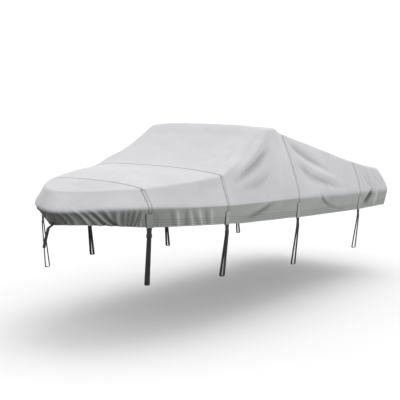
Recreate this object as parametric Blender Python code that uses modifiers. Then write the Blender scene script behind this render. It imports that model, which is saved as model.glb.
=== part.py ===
"""Fitted boat cover for a V-hull runabout, worn as on a boat with a windscreen.

Five cloth panels are sewn across the boat at four seams. Each seam carries a reinforcing strip
and a tab on both sides, and each tab holds a buckle and a closed webbing loop for the trailer.
A webbing strap hangs from the bow. Metres, +Z up, +X port, +Y aft. Heights in the tables are
above the road, stations are aft of the stem head, and the origin is under the highest point of
the windscreen crest.
"""

import math

import bmesh
import bpy
from mathutils import Matrix, Vector

# ---------------------------------------------------------------- driving dimensions
LENGTH = 7.05  # stem head to transom, at the gunwale
HALF_BEAM = 1.25  # half breadth over the gunwale
CLOTH = 0.002  # thickness of the cover cloth
GAP = 0.0005  # between pieces that are sewn together
SEAT = 0.0008  # under a strip or a tab that lies on the cloth

BOW_POWER = 2.4  # fullness of the bow, seen from above
BOW_ROUND = 0.55
FULL_BEAM_STATION = 2.4  # the sides run straight aft of this

SEAMS = (0.71, 1.89, 3.71, 5.80)  # stations of the four cross seams
SEAM_LAND = 0.050  # flat land on each side of a seam
SEAM_FADE = 0.11  # folds reach their full depth this far from a seam
CORNER_START = 6.35  # rows close up towards the stern corners from here

CREST_STATION = 2.94  # windscreen crest on the centre line
CREST_HEIGHT = 2.565
ORIGIN = Vector((0.0, CREST_STATION, CREST_HEIGHT - CLOTH))

# Cross sections. Inset is how far the shoulder stands inside the gunwale, bulge how far the
# middle of a row stands ahead of its ends.
LINES_COLUMNS = ("station", "gunwale", "inset", "shoulder", "crown", "bulge", "hem", "hem_inset")
LINES = (
    (0.00, 1.562, 0.110, 1.781, 1.790, 0.00, 1.393, 0.62),
    (0.15, 1.588, 0.140, 1.797, 1.812, 0.00, 1.398, 0.60),
    (0.30, 1.604, 0.165, 1.809, 1.832, 0.03, 1.396, 0.47),
    (0.50, 1.610, 0.185, 1.821, 1.868, 0.09, 1.390, 0.17),
    (0.70, 1.612, 0.156, 1.828, 1.900, 0.15, 1.381, 0.020),
    (1.25, 1.595, 0.135, 1.880, 1.972, 0.17, 1.360, 0.028),
    (1.89, 1.570, 0.130, 1.940, 2.022, 0.20, 1.327, 0.025),
    (2.16, 1.560, 0.140, 2.040, 2.085, 0.20, 1.306, 0.025),
    (2.56, 1.550, 0.170, 2.194, 2.238, 0.20, 1.287, 0.022),
    (2.86, 1.540, 0.195, 2.352, 2.404, 0.20, 1.274, 0.022),
    (3.14, 1.535, 0.225, 2.515, 2.565, 0.20, 1.260, 0.022),
    (3.37, 1.530, 0.265, 2.518, 2.555, 0.18, 1.251, 0.022),
    (3.71, 1.520, 0.340, 2.436, 2.450, 0.08, 1.230, 0.022),
    (4.71, 1.487, 0.260, 2.202, 2.218, 0.00, 1.192, 0.028),
    (5.80, 1.445, 0.175, 1.944, 1.962, 0.00, 1.156, 0.035),
    (6.47, 1.425, 0.160, 1.836, 1.854, 0.00, 1.147, 0.040),
    (7.05, 1.412, 0.160, 1.785, 1.805, 0.00, 1.140, 0.045),
)

# Rings that run round the boat: the column that sets each inside the gunwale and how fast that
# fades at the stem, how far the ring stands aft of the stem head and ahead of the transom, and
# the radius of its stern corner.
RINGS = {
    "shoulder": {"inset": "inset", "fade": 0.5, "bow": 0.15, "stern": 0.20, "corner": 0.10},
    "gunwale": {"inset": None, "fade": 0.0, "bow": 0.00, "stern": 0.00, "corner": 0.16},
    "hem": {"inset": "hem_inset", "fade": 1.0, "bow": 0.03, "stern": 0.05, "corner": 0.14},
}

DECK_COLUMNS = (0.0, 0.25, 0.5, 0.72, 0.9, 1.0)  # as a share of the half breadth
SIDE_COLUMNS = (0.18, 0.38, 0.58, 0.79, 1.0)  # shoulder (0) to gunwale (1)
SKIRT_COLUMNS = (0.3, 0.65, 1.0)  # gunwale (0) to hem (1)
CAMBER = 2.8  # power of the deck's camber
CROWN_FULL_HALF = 0.4  # the crown has its full rise once the deck is this wide each way
SIDE_ROUND = 1.3  # how the side rounds in above the gunwale
SKIRT_ROUND = 1.15  # and how the skirt rounds in under it

PANELS = ("panel_bow", "panel_foredeck", "panel_windscreen", "panel_cockpit", "panel_stern")
ROWS = (26, 14, 22, 20, 13)  # rows of faces along each panel
ROW_POWER = (1.8, 1.0, 1.0, 1.25, 1.0)  # above 1 the rows close up at the panel's forward end

# Long folds of the sides, as paths in side view; depth is outwards, so a trough is negative.
FOLDS_COLUMNS = (
    "station", "height", "via_station", "via_height", "to_station", "to_height", "width", "depth",
)
FOLDS = (
    (3.10, 2.30, 2.70, 2.075, 1.98, 1.81, 0.062, -0.026),
    (3.10, 2.48, 2.72, 2.24, 2.04, 1.96, 0.055, 0.012),
    (3.04, 1.95, 2.62, 1.77, 2.16, 1.74, 0.060, -0.012),
    (3.22, 2.40, 3.24, 2.00, 3.10, 1.60, 0.100, 0.008),
    (3.74, 2.33, 4.12, 2.12, 4.90, 1.80, 0.055, -0.024),
    (3.86, 2.11, 4.36, 1.84, 5.30, 1.66, 0.060, 0.014),
    (3.80, 2.03, 4.20, 1.76, 5.24, 1.55, 0.055, -0.024),
    (4.36, 1.55, 4.50, 1.40, 4.74, 1.28, 0.045, -0.007),
    (6.22, 1.86, 6.20, 1.60, 6.20, 1.44, 0.055, -0.014),
    (6.32, 1.50, 6.20, 1.34, 6.04, 1.18, 0.055, -0.020),
    (6.45, 1.48, 6.42, 1.30, 6.38, 1.12, 0.055, 0.012),
    (3.06, 1.49, 2.69, 1.42, 2.20, 1.36, 0.045, -0.009),
)
FOLD_TAPER = 0.8  # share of each of a fold's two stretches over which it grows from nothing

# Gathers of the skirt, from the gunwale to the hem. Run is the distance from the stem along the
# gunwale, lean how much further aft the foot is, over how far the fold climbs the side.
GATHERS_COLUMNS = ("run", "lean", "width", "depth", "over")
GATHERS = (
    (0.04, 0.27, 0.030, -0.014, 0.10),
    (0.14, 0.28, 0.028, -0.016, 0.10),
    (0.27, 0.35, 0.030, -0.020, 0.08),
    (0.33, 0.33, 0.024, 0.018, 0.70),
    (0.37, 0.36, 0.024, -0.018, 0.05),
    (0.42, 0.36, 0.022, 0.012, 0.05),
    (0.48, 0.35, 0.030, -0.024, 0.20),
    (0.53, 0.35, 0.024, 0.014, 0.35),
    (0.62, 0.29, 0.030, -0.024, 0.12),
    (0.67, 0.27, 0.030, 0.012, 0.20),
    (0.77, 0.14, 0.024, -0.014, 0.05),
    (0.82, 0.10, 0.022, 0.010, 0.05),
    (0.88, 0.08, 0.022, -0.014, 0.05),
    (0.95, 0.05, 0.020, -0.013, 0.05),
    (1.02, 0.01, 0.022, -0.015, 0.08),
    (1.10, -0.04, 0.022, -0.013, 0.08),
    (1.48, 0.07, 0.040, -0.010, 0.02),
    (1.70, 0.04, 0.040, -0.012, 0.02),
    (1.80, 0.12, 0.036, -0.009, 0.05),
    (2.02, 0.06, 0.040, -0.011, 0.05),
)
GATHER_CLIMB = 0.6  # a gather stops leaning this far up the side
GATHER_FADE = 0.4  # and reaches its full depth this far below the gunwale
STEM_CALM = 0.08  # gathers fade towards the stem over this run
STARBOARD_SHIFT = 0.035  # the starboard folds lie this much further aft
STARBOARD_DEPTH = 0.85
RUN_STEPS = 40  # chords that measure a run along the gunwale
SIGHT = 0.004  # half the chord that gives the gunwale's direction
WELD = 0.0001  # points of one panel closer than this are one

# ---------------------------------------------------------------- fittings
STRIP_HALF = 0.021
STRIP_THICKNESS = 0.0015
STRIP_TOP = 0.25  # share of the first side column, so the strip starts under the shoulder
TAB_HALF = 0.046
TAB_THICKNESS = 0.003
TAB_TOP = 0.07  # below the gunwale
TAB_BELOW_HEM = 0.010

BUCKLE_THICKNESS = 0.018
# Half outline of the buckle, as (half width, distance below its top edge).
BUCKLE_OUTLINE = (
    (0.029, 0.000), (0.032, 0.003), (0.032, 0.024), (0.028, 0.031), (0.025, 0.050),
    (0.025, 0.060), (0.033, 0.071), (0.035, 0.078), (0.035, 0.109), (0.032, 0.112),
)
BAR_TOP = 0.105  # the webbing goes round the bar between here and the buckle's lower edge
WINDOW_TOP = 0.097
WINDOW_HALF = 0.028

WEBBING = 0.0022
WEBBING_HALF = 0.025
LOOP_WIDTH = 0.055  # as wide as the rail it goes round
LOOP_CORNER = 0.014
LOOP_STRAIGHT = 0.002  # the webbing runs straight this far past the buckle
# One row per seam: the foot of the loop above the road, and how far it leans inboard.
LOOPS_COLUMNS = ("foot", "lean")
LOOPS = ((0.675, 0.030), (0.640, 0.038), (0.530, 0.030), (0.500, 0.030))

BOW_STRAP_HALF = 0.025
BOW_STRAP_SEWN = (1.432, 1.400)  # heights between which it lies on the cloth
# The free part of the bow strap, as (station, height).
BOW_STRAP_FREE = ((-0.034, 1.366), (-0.083, 1.253), (-0.118, 1.140))

# ---------------------------------------------------------------- lines of the cover
def line(name, station):
    """One column of LINES at a station, on a smooth curve that doesn't overshoot the table."""
    column = LINES_COLUMNS.index(name)
    rows = LINES
    if station <= rows[0][0]:
        return rows[0][column]
    if station >= rows[-1][0]:
        return rows[-1][column]
    i = max(n for n in range(len(rows) - 1) if rows[n][0] <= station)

    def slope(n):
        if n in (0, len(rows) - 1):
            m = min(n, len(rows) - 2)
            return (rows[m + 1][column] - rows[m][column]) / (rows[m + 1][0] - rows[m][0])
        before = (rows[n][column] - rows[n - 1][column]) / (rows[n][0] - rows[n - 1][0])
        after = (rows[n + 1][column] - rows[n][column]) / (rows[n + 1][0] - rows[n][0])
        return 0.0 if before * after <= 0 else 2 * before * after / (before + after)

    width = rows[i + 1][0] - rows[i][0]
    t = (station - rows[i][0]) / width
    a, b = rows[i][column], rows[i + 1][column]
    h00 = (1 + 2 * t) * (1 - t) ** 2
    h10 = t * (1 - t) ** 2
    h01 = t * t * (3 - 2 * t)
    h11 = t * t * (t - 1)
    return h00 * a + h10 * width * slope(i) + h01 * b + h11 * width * slope(i + 1)


def bow_half(station):
    """Half breadth over the gunwale: a full round bow that runs into straight sides."""
    t = min(max(station / FULL_BEAM_STATION, 0.0), 1.0)
    return HALF_BEAM * (1 - (1 - t) ** BOW_POWER) ** BOW_ROUND


def ring_half(ring, row):
    half = bow_half(row)
    sizes = RINGS[ring]
    inset = line(sizes["inset"], row) if sizes["inset"] else 0.0
    return half - inset * (half / HALF_BEAM) ** sizes["fade"]


def ring_side(ring, row):
    """(half breadth, station) of a ring where a row of the side meets it."""
    sizes = RINGS[ring]
    half = ring_half(ring, row)
    if row <= CORNER_START:
        return half, row + sizes["bow"] * max(0.0, 1 - row / SEAMS[0]) ** 1.5
    radius = sizes["corner"]
    corner = LENGTH - sizes["stern"] - radius
    straight = corner - CORNER_START
    run = (row - CORNER_START) / (LENGTH - CORNER_START) * (straight + radius * math.pi / 4)
    if run <= straight:
        return half, CORNER_START + run
    turn = (run - straight) / radius
    return half - radius * (1 - math.cos(turn)), corner + radius * math.sin(turn)


def ring_transom(ring, share):
    """(half breadth, station) of a ring across the transom, from its corner (1) to the middle (0)."""
    sizes = RINGS[ring]
    half = ring_half(ring, LENGTH)
    radius = sizes["corner"]
    arc = radius * math.pi / 4
    flat = half - radius
    run = (1 - share) * (arc + flat)
    if run >= arc:
        return flat - (run - arc), LENGTH - sizes["stern"]
    turn = math.pi / 4 + run / radius
    centre = LENGTH - sizes["stern"] - radius
    return flat + radius * math.cos(turn), centre + radius * math.sin(turn)


def between(ring_a, height_a, ring_b, height_b, share, ease):
    """A point of the band between two rings; ease bends the band outwards."""
    out = ease(share)
    x = ring_a[0] + (ring_b[0] - ring_a[0]) * out
    y = ring_a[1] + (ring_b[1] - ring_a[1]) * out
    return Vector((x, y, height_a + (height_b - height_a) * share))


def side_ease(share):
    return 1 - (1 - share) ** SIDE_ROUND


def skirt_ease(share):
    return share**SKIRT_ROUND


def band(find, row):
    """Points from just below the shoulder down to the hem, port side; find places a ring."""
    shoulder, gunwale, hem = (find(ring) for ring in ("shoulder", "gunwale", "hem"))
    heights = [line(name, row) for name in ("shoulder", "gunwale", "hem")]
    side = [between(shoulder, heights[0], gunwale, heights[1], v, side_ease) for v in SIDE_COLUMNS]
    skirt = [between(gunwale, heights[1], hem, heights[2], v, skirt_ease) for v in SKIRT_COLUMNS]
    return side + skirt


# ---------------------------------------------------------------- folds
def smooth(share):
    share = min(max(share, 0.0), 1.0)
    return share * share * (3 - 2 * share)


def outward(row):
    """Unit vector in plan, square to the gunwale on the port side."""
    x0, y0 = ring_side("gunwale", max(row - SIGHT, 0.0))
    x1, y1 = ring_side("gunwale", min(row + SIGHT, LENGTH))
    return Vector((y1 - y0, x0 - x1, 0.0)).normalized()


def gunwale_run(row):
    """Distance along the gunwale from the stem."""
    points = [ring_side("gunwale", row * (n / RUN_STEPS) ** 2) for n in range(RUN_STEPS + 1)]
    return sum(math.dist(a, b) for a, b in zip(points, points[1:]))


def free_of_seams(row):
    """0 on the flat lands beside the seams, 1 a little further on."""
    nearest = min(abs(row - seam) for seam in SEAMS)
    return smooth((nearest - SEAM_LAND) / (SEAM_FADE - SEAM_LAND))


def fold_depth(station, height):
    """What the long folds add outwards at a place in side view."""
    total = 0.0
    here = Vector((station, height))
    for fold in FOLDS:
        row = dict(zip(FOLDS_COLUMNS, fold))
        knots = [
            Vector((row["station"], row["height"])),
            Vector((row["via_station"], row["via_height"])),
            Vector((row["to_station"], row["to_height"])),
        ]
        (near, upper), (far, lower) = (distance(here, a, b) for a, b in zip(knots, knots[1:]))
        fade = smooth((upper if near < far else 1 - lower) / FOLD_TAPER)
        total += row["depth"] * fade * math.exp(-((min(near, far) / row["width"]) ** 2))
    return total


def distance(point, a, b):
    """From a point to the line between a and b, in a plane, and how far along it that is."""
    along = b - a
    share = min(max((point - a).dot(along) / along.length_squared, 0.0), 1.0)
    return (point - a - along * share).length, share


def gather_depth(run, drop):
    """What the gathers add; drop is 0 at the gunwale, 1 at the hem, -1 at the shoulder."""
    total = 0.0
    for gather in GATHERS:
        row = dict(zip(GATHERS_COLUMNS, gather))
        across = (run - row["run"] - row["lean"] * max(drop, -GATHER_CLIMB)) / row["width"]
        grown = smooth((drop + row["over"]) / (row["over"] + GATHER_FADE))
        total += row["depth"] * grown * math.exp(-across * across)
    return total


def folded(points, row, side):
    """The band of one side with its folds and gathers; side is 1 to port and -1 to starboard."""
    calm = free_of_seams(row)
    if calm == 0.0:
        return points
    away = outward(row)
    run = gunwale_run(row)
    shift, scale = (0.0, 1.0) if side > 0 else (STARBOARD_SHIFT, STARBOARD_DEPTH)
    drops = [v - 1 for v in SIDE_COLUMNS] + list(SKIRT_COLUMNS)
    moved = []
    for point, drop in zip(points, drops):
        depth = fold_depth(point.y - shift, point.z)
        depth += gather_depth(run - shift, drop) * smooth(run / STEM_CALM)
        moved.append(point + away * depth * scale * calm)
    return moved


# ---------------------------------------------------------------- panels
def deck(row):
    """Points across the top from the middle to the port shoulder."""
    half, station = ring_side("shoulder", row)
    low, high, bulge = (line(name, row) for name in ("shoulder", "crown", "bulge"))
    rise = (high - low) * min(1.0, half / CROWN_FULL_HALF)
    points = []
    for u in DECK_COLUMNS:
        points.append(Vector((u * half, station - bulge * (1 - u * u), low + rise * (1 - u**CAMBER))))
    return points


def deck_end():
    """The deck's last row, which lies on the shoulder ring across the transom."""
    low, high = line("shoulder", LENGTH), line("crown", LENGTH)
    points = []
    for u in DECK_COLUMNS:
        x, y = ring_transom("shoulder", u)
        points.append(Vector((x, y, low + (high - low) * (1 - u**CAMBER))))
    return points


def mirrored(points):
    return [Vector((-p.x, p.y, p.z)) for p in reversed(points)]


def section(row):
    """The whole row of points from the starboard hem over the top to the port hem."""
    top = deck_end() if row == LENGTH else deck(row)
    plain = band(lambda ring: ring_side(ring, row), row)
    port, starboard = folded(plain, row, 1), folded(plain, row, -1)
    return mirrored(starboard) + mirrored(top[1:]) + top + port


def panel_rows(index):
    """The stations of one panel's rows, with a land beside each seam."""
    first = SEAMS[index - 1] + SEAM_LAND if index else 0.0
    last = SEAMS[index] - SEAM_LAND if index < len(SEAMS) else LENGTH
    count, power = ROWS[index], ROW_POWER[index]
    return [first + (last - first) * (n / count) ** power for n in range(count + 1)]


def build_rows():
    """Rows of points for each panel; the rows at a seam lie on the flat land across it."""
    panels = [[section(row) for row in panel_rows(index)] for index in range(len(PANELS))]
    for index in range(len(SEAMS)):
        before, after = panels[index][-1], panels[index + 1][0]
        share = GAP / 2 / (2 * SEAM_LAND)
        panels[index].append([a.lerp(b, 0.5 - share) for a, b in zip(before, after)])
        panels[index + 1].insert(0, [a.lerp(b, 0.5 + share) for a, b in zip(before, after)])
    return panels


def transom_grid():
    """Columns across the transom, each from the shoulder down to the hem."""
    port = []
    for n, u in enumerate(DECK_COLUMNS):
        top = deck_end()[n]
        port.append([top] + band(lambda ring: ring_transom(ring, u), LENGTH))
    # the band starts at the shoulder ring, which carries the deck's camber here
    for n, column in enumerate(port):
        lift = column[0].z - line("shoulder", LENGTH)
        for m, v in enumerate(SIDE_COLUMNS):
            column[m + 1].z += lift * (1 - v)
    starboard = [[Vector((-p.x, p.y, p.z)) for p in column] for column in port[1:]]
    return list(reversed(port)) + starboard


# ---------------------------------------------------------------- strips and tabs
def land(seam, share, side):
    """The path down one side on the land across a seam, from its forward row (0) to its aft (1)."""
    rows = (seam - SEAM_LAND, seam + SEAM_LAND)
    paths = []
    for row in rows:
        x, y = ring_side("shoulder", row)
        first = Vector((x, y, line("shoulder", row)))
        paths.append([first] + band(lambda ring: ring_side(ring, row), row))
    path = [a.lerp(b, share) for a, b in zip(*paths)]
    return [Vector((p.x * side, p.y, p.z)) for p in path]


def part_of_path(path, top, bottom):
    """The stretch of a falling path between two heights; below its end it runs straight on."""
    last = path[-1] + (path[-1] - path[-2]).normalized()
    path = path[:-1] + [path[-1], last] if bottom < path[-1].z else path
    kept = []
    for a, b in zip(path, path[1:]):
        if a.z >= top > b.z:
            kept.append(a.lerp(b, (a.z - top) / (a.z - b.z)))
        elif kept:
            kept.append(a)
        if kept and a.z > bottom >= b.z:
            kept.append(a.lerp(b, (a.z - bottom) / (a.z - b.z)))
            break
    return kept


def path_normals(path, across):
    """Mitred outward normals of a path; across is the direction along the seam's land."""
    flats = [(b - a).cross(across).normalized() for a, b in zip(path, path[1:])]
    flats = [flats[0]] + flats + [flats[-1]]
    return [(a + b) / (1 + a.dot(b)) for a, b in zip(flats, flats[1:])]


def tape_mesh(name, seam, side, half, thickness, top, bottom):
    """A tape down the side over a seam, half wide each way, clear of the cloth by SEAT."""
    across_share = half / (2 * SEAM_LAND)
    edges = [land(seam, 0.5 + sign * across_share, side) for sign in (-1, 1)]
    edges = [part_of_path(edge, top, bottom) for edge in edges]
    across = (edges[1][0] - edges[0][0]) * side
    build = bmesh.new()
    rings = []
    normals = [path_normals(edge, across) for edge in edges]
    for fore, aft, n0, n1 in zip(edges[0], edges[1], normals[0], normals[1]):
        corners = (
            fore + n0 * SEAT, aft + n1 * SEAT,
            aft + n1 * (SEAT + thickness), fore + n0 * (SEAT + thickness),
        )
        rings.append([build.verts.new(p - ORIGIN) for p in corners])
    for high, low in zip(rings, rings[1:]):
        for n in range(4):
            build.faces.new((high[n], high[(n + 1) % 4], low[(n + 1) % 4], low[n]))
    build.faces.new(rings[0])
    build.faces.new(rings[-1])
    bmesh.ops.recalc_face_normals(build, faces=build.faces)
    mesh = bpy.data.meshes.new(name)
    build.to_mesh(mesh)
    build.free()
    return mesh


def seam_heights(seam):
    """Heights of a strip's top, the edge between strip and tab, and the tab's lower edge."""
    top = line("shoulder", seam)
    first = top + (line("gunwale", seam) - top) * SIDE_COLUMNS[0] * STRIP_TOP
    return first, line("gunwale", seam) - TAB_TOP, line("hem", seam) - TAB_BELOW_HEM


# ---------------------------------------------------------------- buckles and webbing
def hanger(seam, side):
    """Placing of what hangs from a tab: local X runs along the seam's hem, Y up, Z outboard."""
    fore, aft = (land(seam, share, side) for share in (0.0, 1.0))
    along = (aft[-1] - fore[-1]).normalized()
    along.z = 0.0
    along.normalize()
    out = Vector((along.y, -along.x, 0.0)) * side
    path = part_of_path(land(seam, 0.5, side), line("gunwale", seam), seam_heights(seam)[2])
    normal = path_normals(path, along * side)[-1]
    place = path[-1] + normal * (SEAT + TAB_THICKNESS / 2)
    place.z = path[-1].z + min(0.0, normal.z) * (SEAT + TAB_THICKNESS) - GAP
    turn = Matrix((along * side, Vector((0, 0, 1)), out)).transposed()
    return Matrix.Translation(place - ORIGIN) @ turn.to_4x4()


def outline_object(name, loops, half_depth, place, finish, collection):
    """A flat outline with its holes, given as closed loops, extruded both ways."""
    curve = bpy.data.curves.new(name, "CURVE")
    curve.dimensions = "2D"
    curve.fill_mode = "BOTH"
    curve.extrude = half_depth
    for loop in loops:
        spline = curve.splines.new("POLY")
        spline.points.add(len(loop) - 1)
        for point, (x, y) in zip(spline.points, loop):
            point.co = (x, y, 0.0, 1.0)
        spline.use_cyclic_u = True
    made = add_object(name, curve, finish, collection)
    made.matrix_world = place
    return made


def add_buckle(name, place, finish, collection):
    half = [(x, -y) for x, y in BUCKLE_OUTLINE]
    outline = half + [(-x, y) for x, y in reversed(half)]
    window = [
        (WINDOW_HALF, -WINDOW_TOP), (WINDOW_HALF, -BAR_TOP),
        (-WINDOW_HALF, -BAR_TOP), (-WINDOW_HALF, -WINDOW_TOP),
    ]
    return outline_object(name, [outline, window], BUCKLE_THICKNESS / 2, place, finish, collection)


def arc(centre, radius, start, end, steps):
    """Points of an arc, angles in degrees."""
    angles = [math.radians(start + (end - start) * n / steps) for n in range(steps + 1)]
    return [(centre[0] + radius * math.cos(a), centre[1] + radius * math.sin(a)) for a in angles]


def loop_outline(drop, lean, grow):
    """The webbing loop seen along the rail: round the buckle's bar and round the rail.

    X is outboard, Y is up from the buckle's top edge, and grow offsets the middle line.
    """
    clear = GAP + WEBBING / 2 + grow
    bar = BUCKLE_THICKNESS / 2
    below = -BUCKLE_OUTLINE[-1][1] - LOOP_STRAIGHT
    top = [
        (bar + clear, below),
        *arc((bar, -BAR_TOP), clear, 0, 90, 3),
        *arc((-bar, -BAR_TOP), clear, 90, 180, 3),
        (-bar - clear, below),
    ]
    outer, inner = -lean, -lean - LOOP_WIDTH
    foot = -drop + LOOP_CORNER
    corner = LOOP_CORNER + grow
    bottom = [
        *arc((inner + LOOP_CORNER, foot), corner, 180, 270, 3),
        *arc((outer - LOOP_CORNER, foot), corner, 270, 360, 3),
    ]
    return top + bottom


def add_loop(name, seam, side, place, finish, collection):
    foot, lean = LOOPS[SEAMS.index(seam)]
    drop = seam_heights(seam)[2] - foot
    loops = [loop_outline(drop, lean, grow) for grow in (WEBBING / 2, -WEBBING / 2)]
    # the loop's plane looks along the rail, so local X becomes outboard and Z runs along it
    turned = place @ Matrix.Rotation(math.radians(-90), 4, "Y")
    return outline_object(name, loops, WEBBING_HALF, turned, finish, collection)


def nose(height):
    """Station of the skirt on the centre line at the bow."""
    share = (line("gunwale", 0.0) - height) / (line("gunwale", 0.0) - line("hem", 0.0))
    return RINGS["hem"]["bow"] * skirt_ease(share)


def ribbon(path, thickness):
    """Closed outline of a strip of the given thickness along a path in a plane."""
    points = [Vector(p) for p in path]
    flats = [(b - a).normalized() for a, b in zip(points, points[1:])]
    flats = [Vector((-d.y, d.x)) for d in flats]
    flats = [flats[0]] + flats + [flats[-1]]
    mitres = [(a + b) / (1 + a.dot(b)) * thickness / 2 for a, b in zip(flats, flats[1:])]
    left = [p + m for p, m in zip(points, mitres)]
    right = [p - m for p, m in zip(points, mitres)]
    return [tuple(p) for p in left + right[::-1]]


def add_bow_strap(finish, collection):
    clear = SEAT + WEBBING / 2
    sewn = [(nose(height) - clear, height) for height in BOW_STRAP_SEWN]
    path = [(y - ORIGIN.y, z - ORIGIN.z) for y, z in (*sewn, *BOW_STRAP_FREE)]
    # local X is aft and local Y up, so the strap's width runs along X
    place = Matrix(((0, 0, 1, 0), (1, 0, 0, 0), (0, 1, 0, 0), (0, 0, 0, 1)))
    outline = ribbon(path, WEBBING)
    outline_object("bow_strap", [outline], BOW_STRAP_HALF, place, finish, collection)


# ---------------------------------------------------------------- helpers
def material(name, colour, roughness, metallic=0.0):
    made = bpy.data.materials.new(name)
    made.use_nodes = True
    shader = made.node_tree.nodes["Principled BSDF"]
    shader.inputs["Base Color"].default_value = (*colour, 1.0)
    shader.inputs["Roughness"].default_value = roughness
    shader.inputs["Metallic"].default_value = metallic
    return made


def add_object(name, mesh, finish, collection):
    made = bpy.data.objects.new(name, mesh)
    made.data.materials.append(finish)
    collection.objects.link(made)
    return made


def grid_mesh(name, grids):
    """One open mesh from grids of points that share their edges."""
    build = bmesh.new()
    for grid in grids:
        corners = [[build.verts.new(p - ORIGIN) for p in row] for row in grid]
        for low, high in zip(corners, corners[1:]):
            for n in range(len(low) - 1):
                build.faces.new((low[n], low[n + 1], high[n + 1], high[n]))
    bmesh.ops.remove_doubles(build, verts=build.verts, dist=WELD)
    mesh = bpy.data.meshes.new(name)
    build.to_mesh(mesh)
    build.free()
    return mesh


def add_panels(finish, collection):
    for name, rows in zip(PANELS, build_rows()):
        grids = [rows]
        if name == PANELS[-1]:
            grids.append(transom_grid())
        shell = add_object(name, grid_mesh(name, grids), finish, collection)
        wall = shell.modifiers.new("cloth", "SOLIDIFY")
        wall.thickness = CLOTH
        wall.offset = -1.0


def main():
    for old in list(bpy.data.objects):
        bpy.data.objects.remove(old)
    cover = bpy.data.collections.new("boat_cover")
    bpy.context.scene.collection.children.link(cover)
    cloth = material("cover_cloth", (0.60, 0.60, 0.62), 0.80)
    tape = material("seam_tape", (0.56, 0.56, 0.58), 0.75)
    tab_cloth = material("tab_cloth", (0.40, 0.42, 0.41), 0.85)
    plastic = material("buckle_plastic", (0.02, 0.018, 0.02), 0.45)
    webbing = material("webbing", (0.025, 0.022, 0.026), 0.80)

    add_panels(cloth, cover)
    for word, side in (("port", 1), ("stbd", -1)):
        for number, seam in enumerate(SEAMS, 1):
            end = f"{word}_{number}"
            top, edge, low = seam_heights(seam)
            strip = tape_mesh(
                f"seam_strip_{end}", seam, side, STRIP_HALF, STRIP_THICKNESS, top, edge + GAP
            )
            add_object(f"seam_strip_{end}", strip, tape, cover)
            tab = tape_mesh(f"tab_{end}", seam, side, TAB_HALF, TAB_THICKNESS, edge, low)
            add_object(f"tab_{end}", tab, tab_cloth, cover)
            place = hanger(seam, side)
            add_buckle(f"buckle_{end}", place, plastic, cover)
            add_loop(f"strap_{end}", seam, side, place, webbing, cover)
    add_bow_strap(webbing, cover)


if __name__ == "__main__":
    main()
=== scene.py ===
"""Boat cover for a V-hull runabout: the cloth, tapes, tabs, buckles and webbing, dressed for a render.

The five panels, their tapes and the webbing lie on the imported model, in its frame: metres,
+X port, +Y aft, +Z up, origin under the windscreen crest. Heights in the tables are above the
road and stations are aft of the stem head, as a boat's lines are drawn.
"""

import math

import bmesh
import bpy
import numpy as np
from bpy.props import FloatProperty, FloatVectorProperty, PointerProperty
from mathutils import Matrix, Vector


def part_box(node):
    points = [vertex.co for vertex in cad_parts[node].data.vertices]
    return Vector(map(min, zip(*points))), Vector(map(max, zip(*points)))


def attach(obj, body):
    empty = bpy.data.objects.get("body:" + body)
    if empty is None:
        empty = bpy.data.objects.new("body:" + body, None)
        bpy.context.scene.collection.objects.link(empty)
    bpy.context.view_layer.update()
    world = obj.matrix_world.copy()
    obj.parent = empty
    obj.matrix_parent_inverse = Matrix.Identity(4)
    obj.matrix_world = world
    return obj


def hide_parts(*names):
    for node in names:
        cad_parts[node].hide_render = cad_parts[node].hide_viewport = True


bl_info = {
    "name": "Boat Cover",
    "version": (1, 0, 0),
    "blender": (4, 5, 0),
    "location": "3D View > Sidebar > Boat Cover",
    "description": "Dresses a fitted boat cover: panels, tapes, tabs, buckles, webbing, stitches",
    "category": "Add Mesh",
}

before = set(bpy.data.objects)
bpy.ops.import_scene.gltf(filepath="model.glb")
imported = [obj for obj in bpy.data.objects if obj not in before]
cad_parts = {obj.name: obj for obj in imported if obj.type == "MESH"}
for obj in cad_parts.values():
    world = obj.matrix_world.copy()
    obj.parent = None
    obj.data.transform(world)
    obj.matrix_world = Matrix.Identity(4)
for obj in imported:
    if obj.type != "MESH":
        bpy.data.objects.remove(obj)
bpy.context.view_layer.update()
PACKED_FINISHES = {made.name for made in bpy.data.materials}  # plain, and left to the solids

# ---------------------------------------------------------------- lines of the cover
LENGTH = 7.05
HALF_BEAM = 1.25
CLOTH = 0.002
GAP = 0.0005  # between pieces that lie edge to edge
SEAT = 0.0008  # between a piece and the cloth it lies on
BOW_POWER = 2.4  # the bow's fullness in plan
BOW_ROUND = 0.55
BOW_LEAD_POWER = 1.5  # how fast a ring that starts aft of the stem head comes up to it
FULL_BEAM_STATION = 2.4
SEAMS = (0.71, 1.89, 3.71, 5.80)
SEAM_LAND = 0.050  # free of folds on each side of a seam
SEAM_FADE = 0.11  # and they are whole again this far from it
CORNER_START = 6.35  # rows aft of this one turn the stern's corners
CREST_STATION = 2.94
CREST_HEIGHT = 2.565
ORIGIN = np.array((0.0, CREST_STATION, CREST_HEIGHT - CLOTH))

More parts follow.
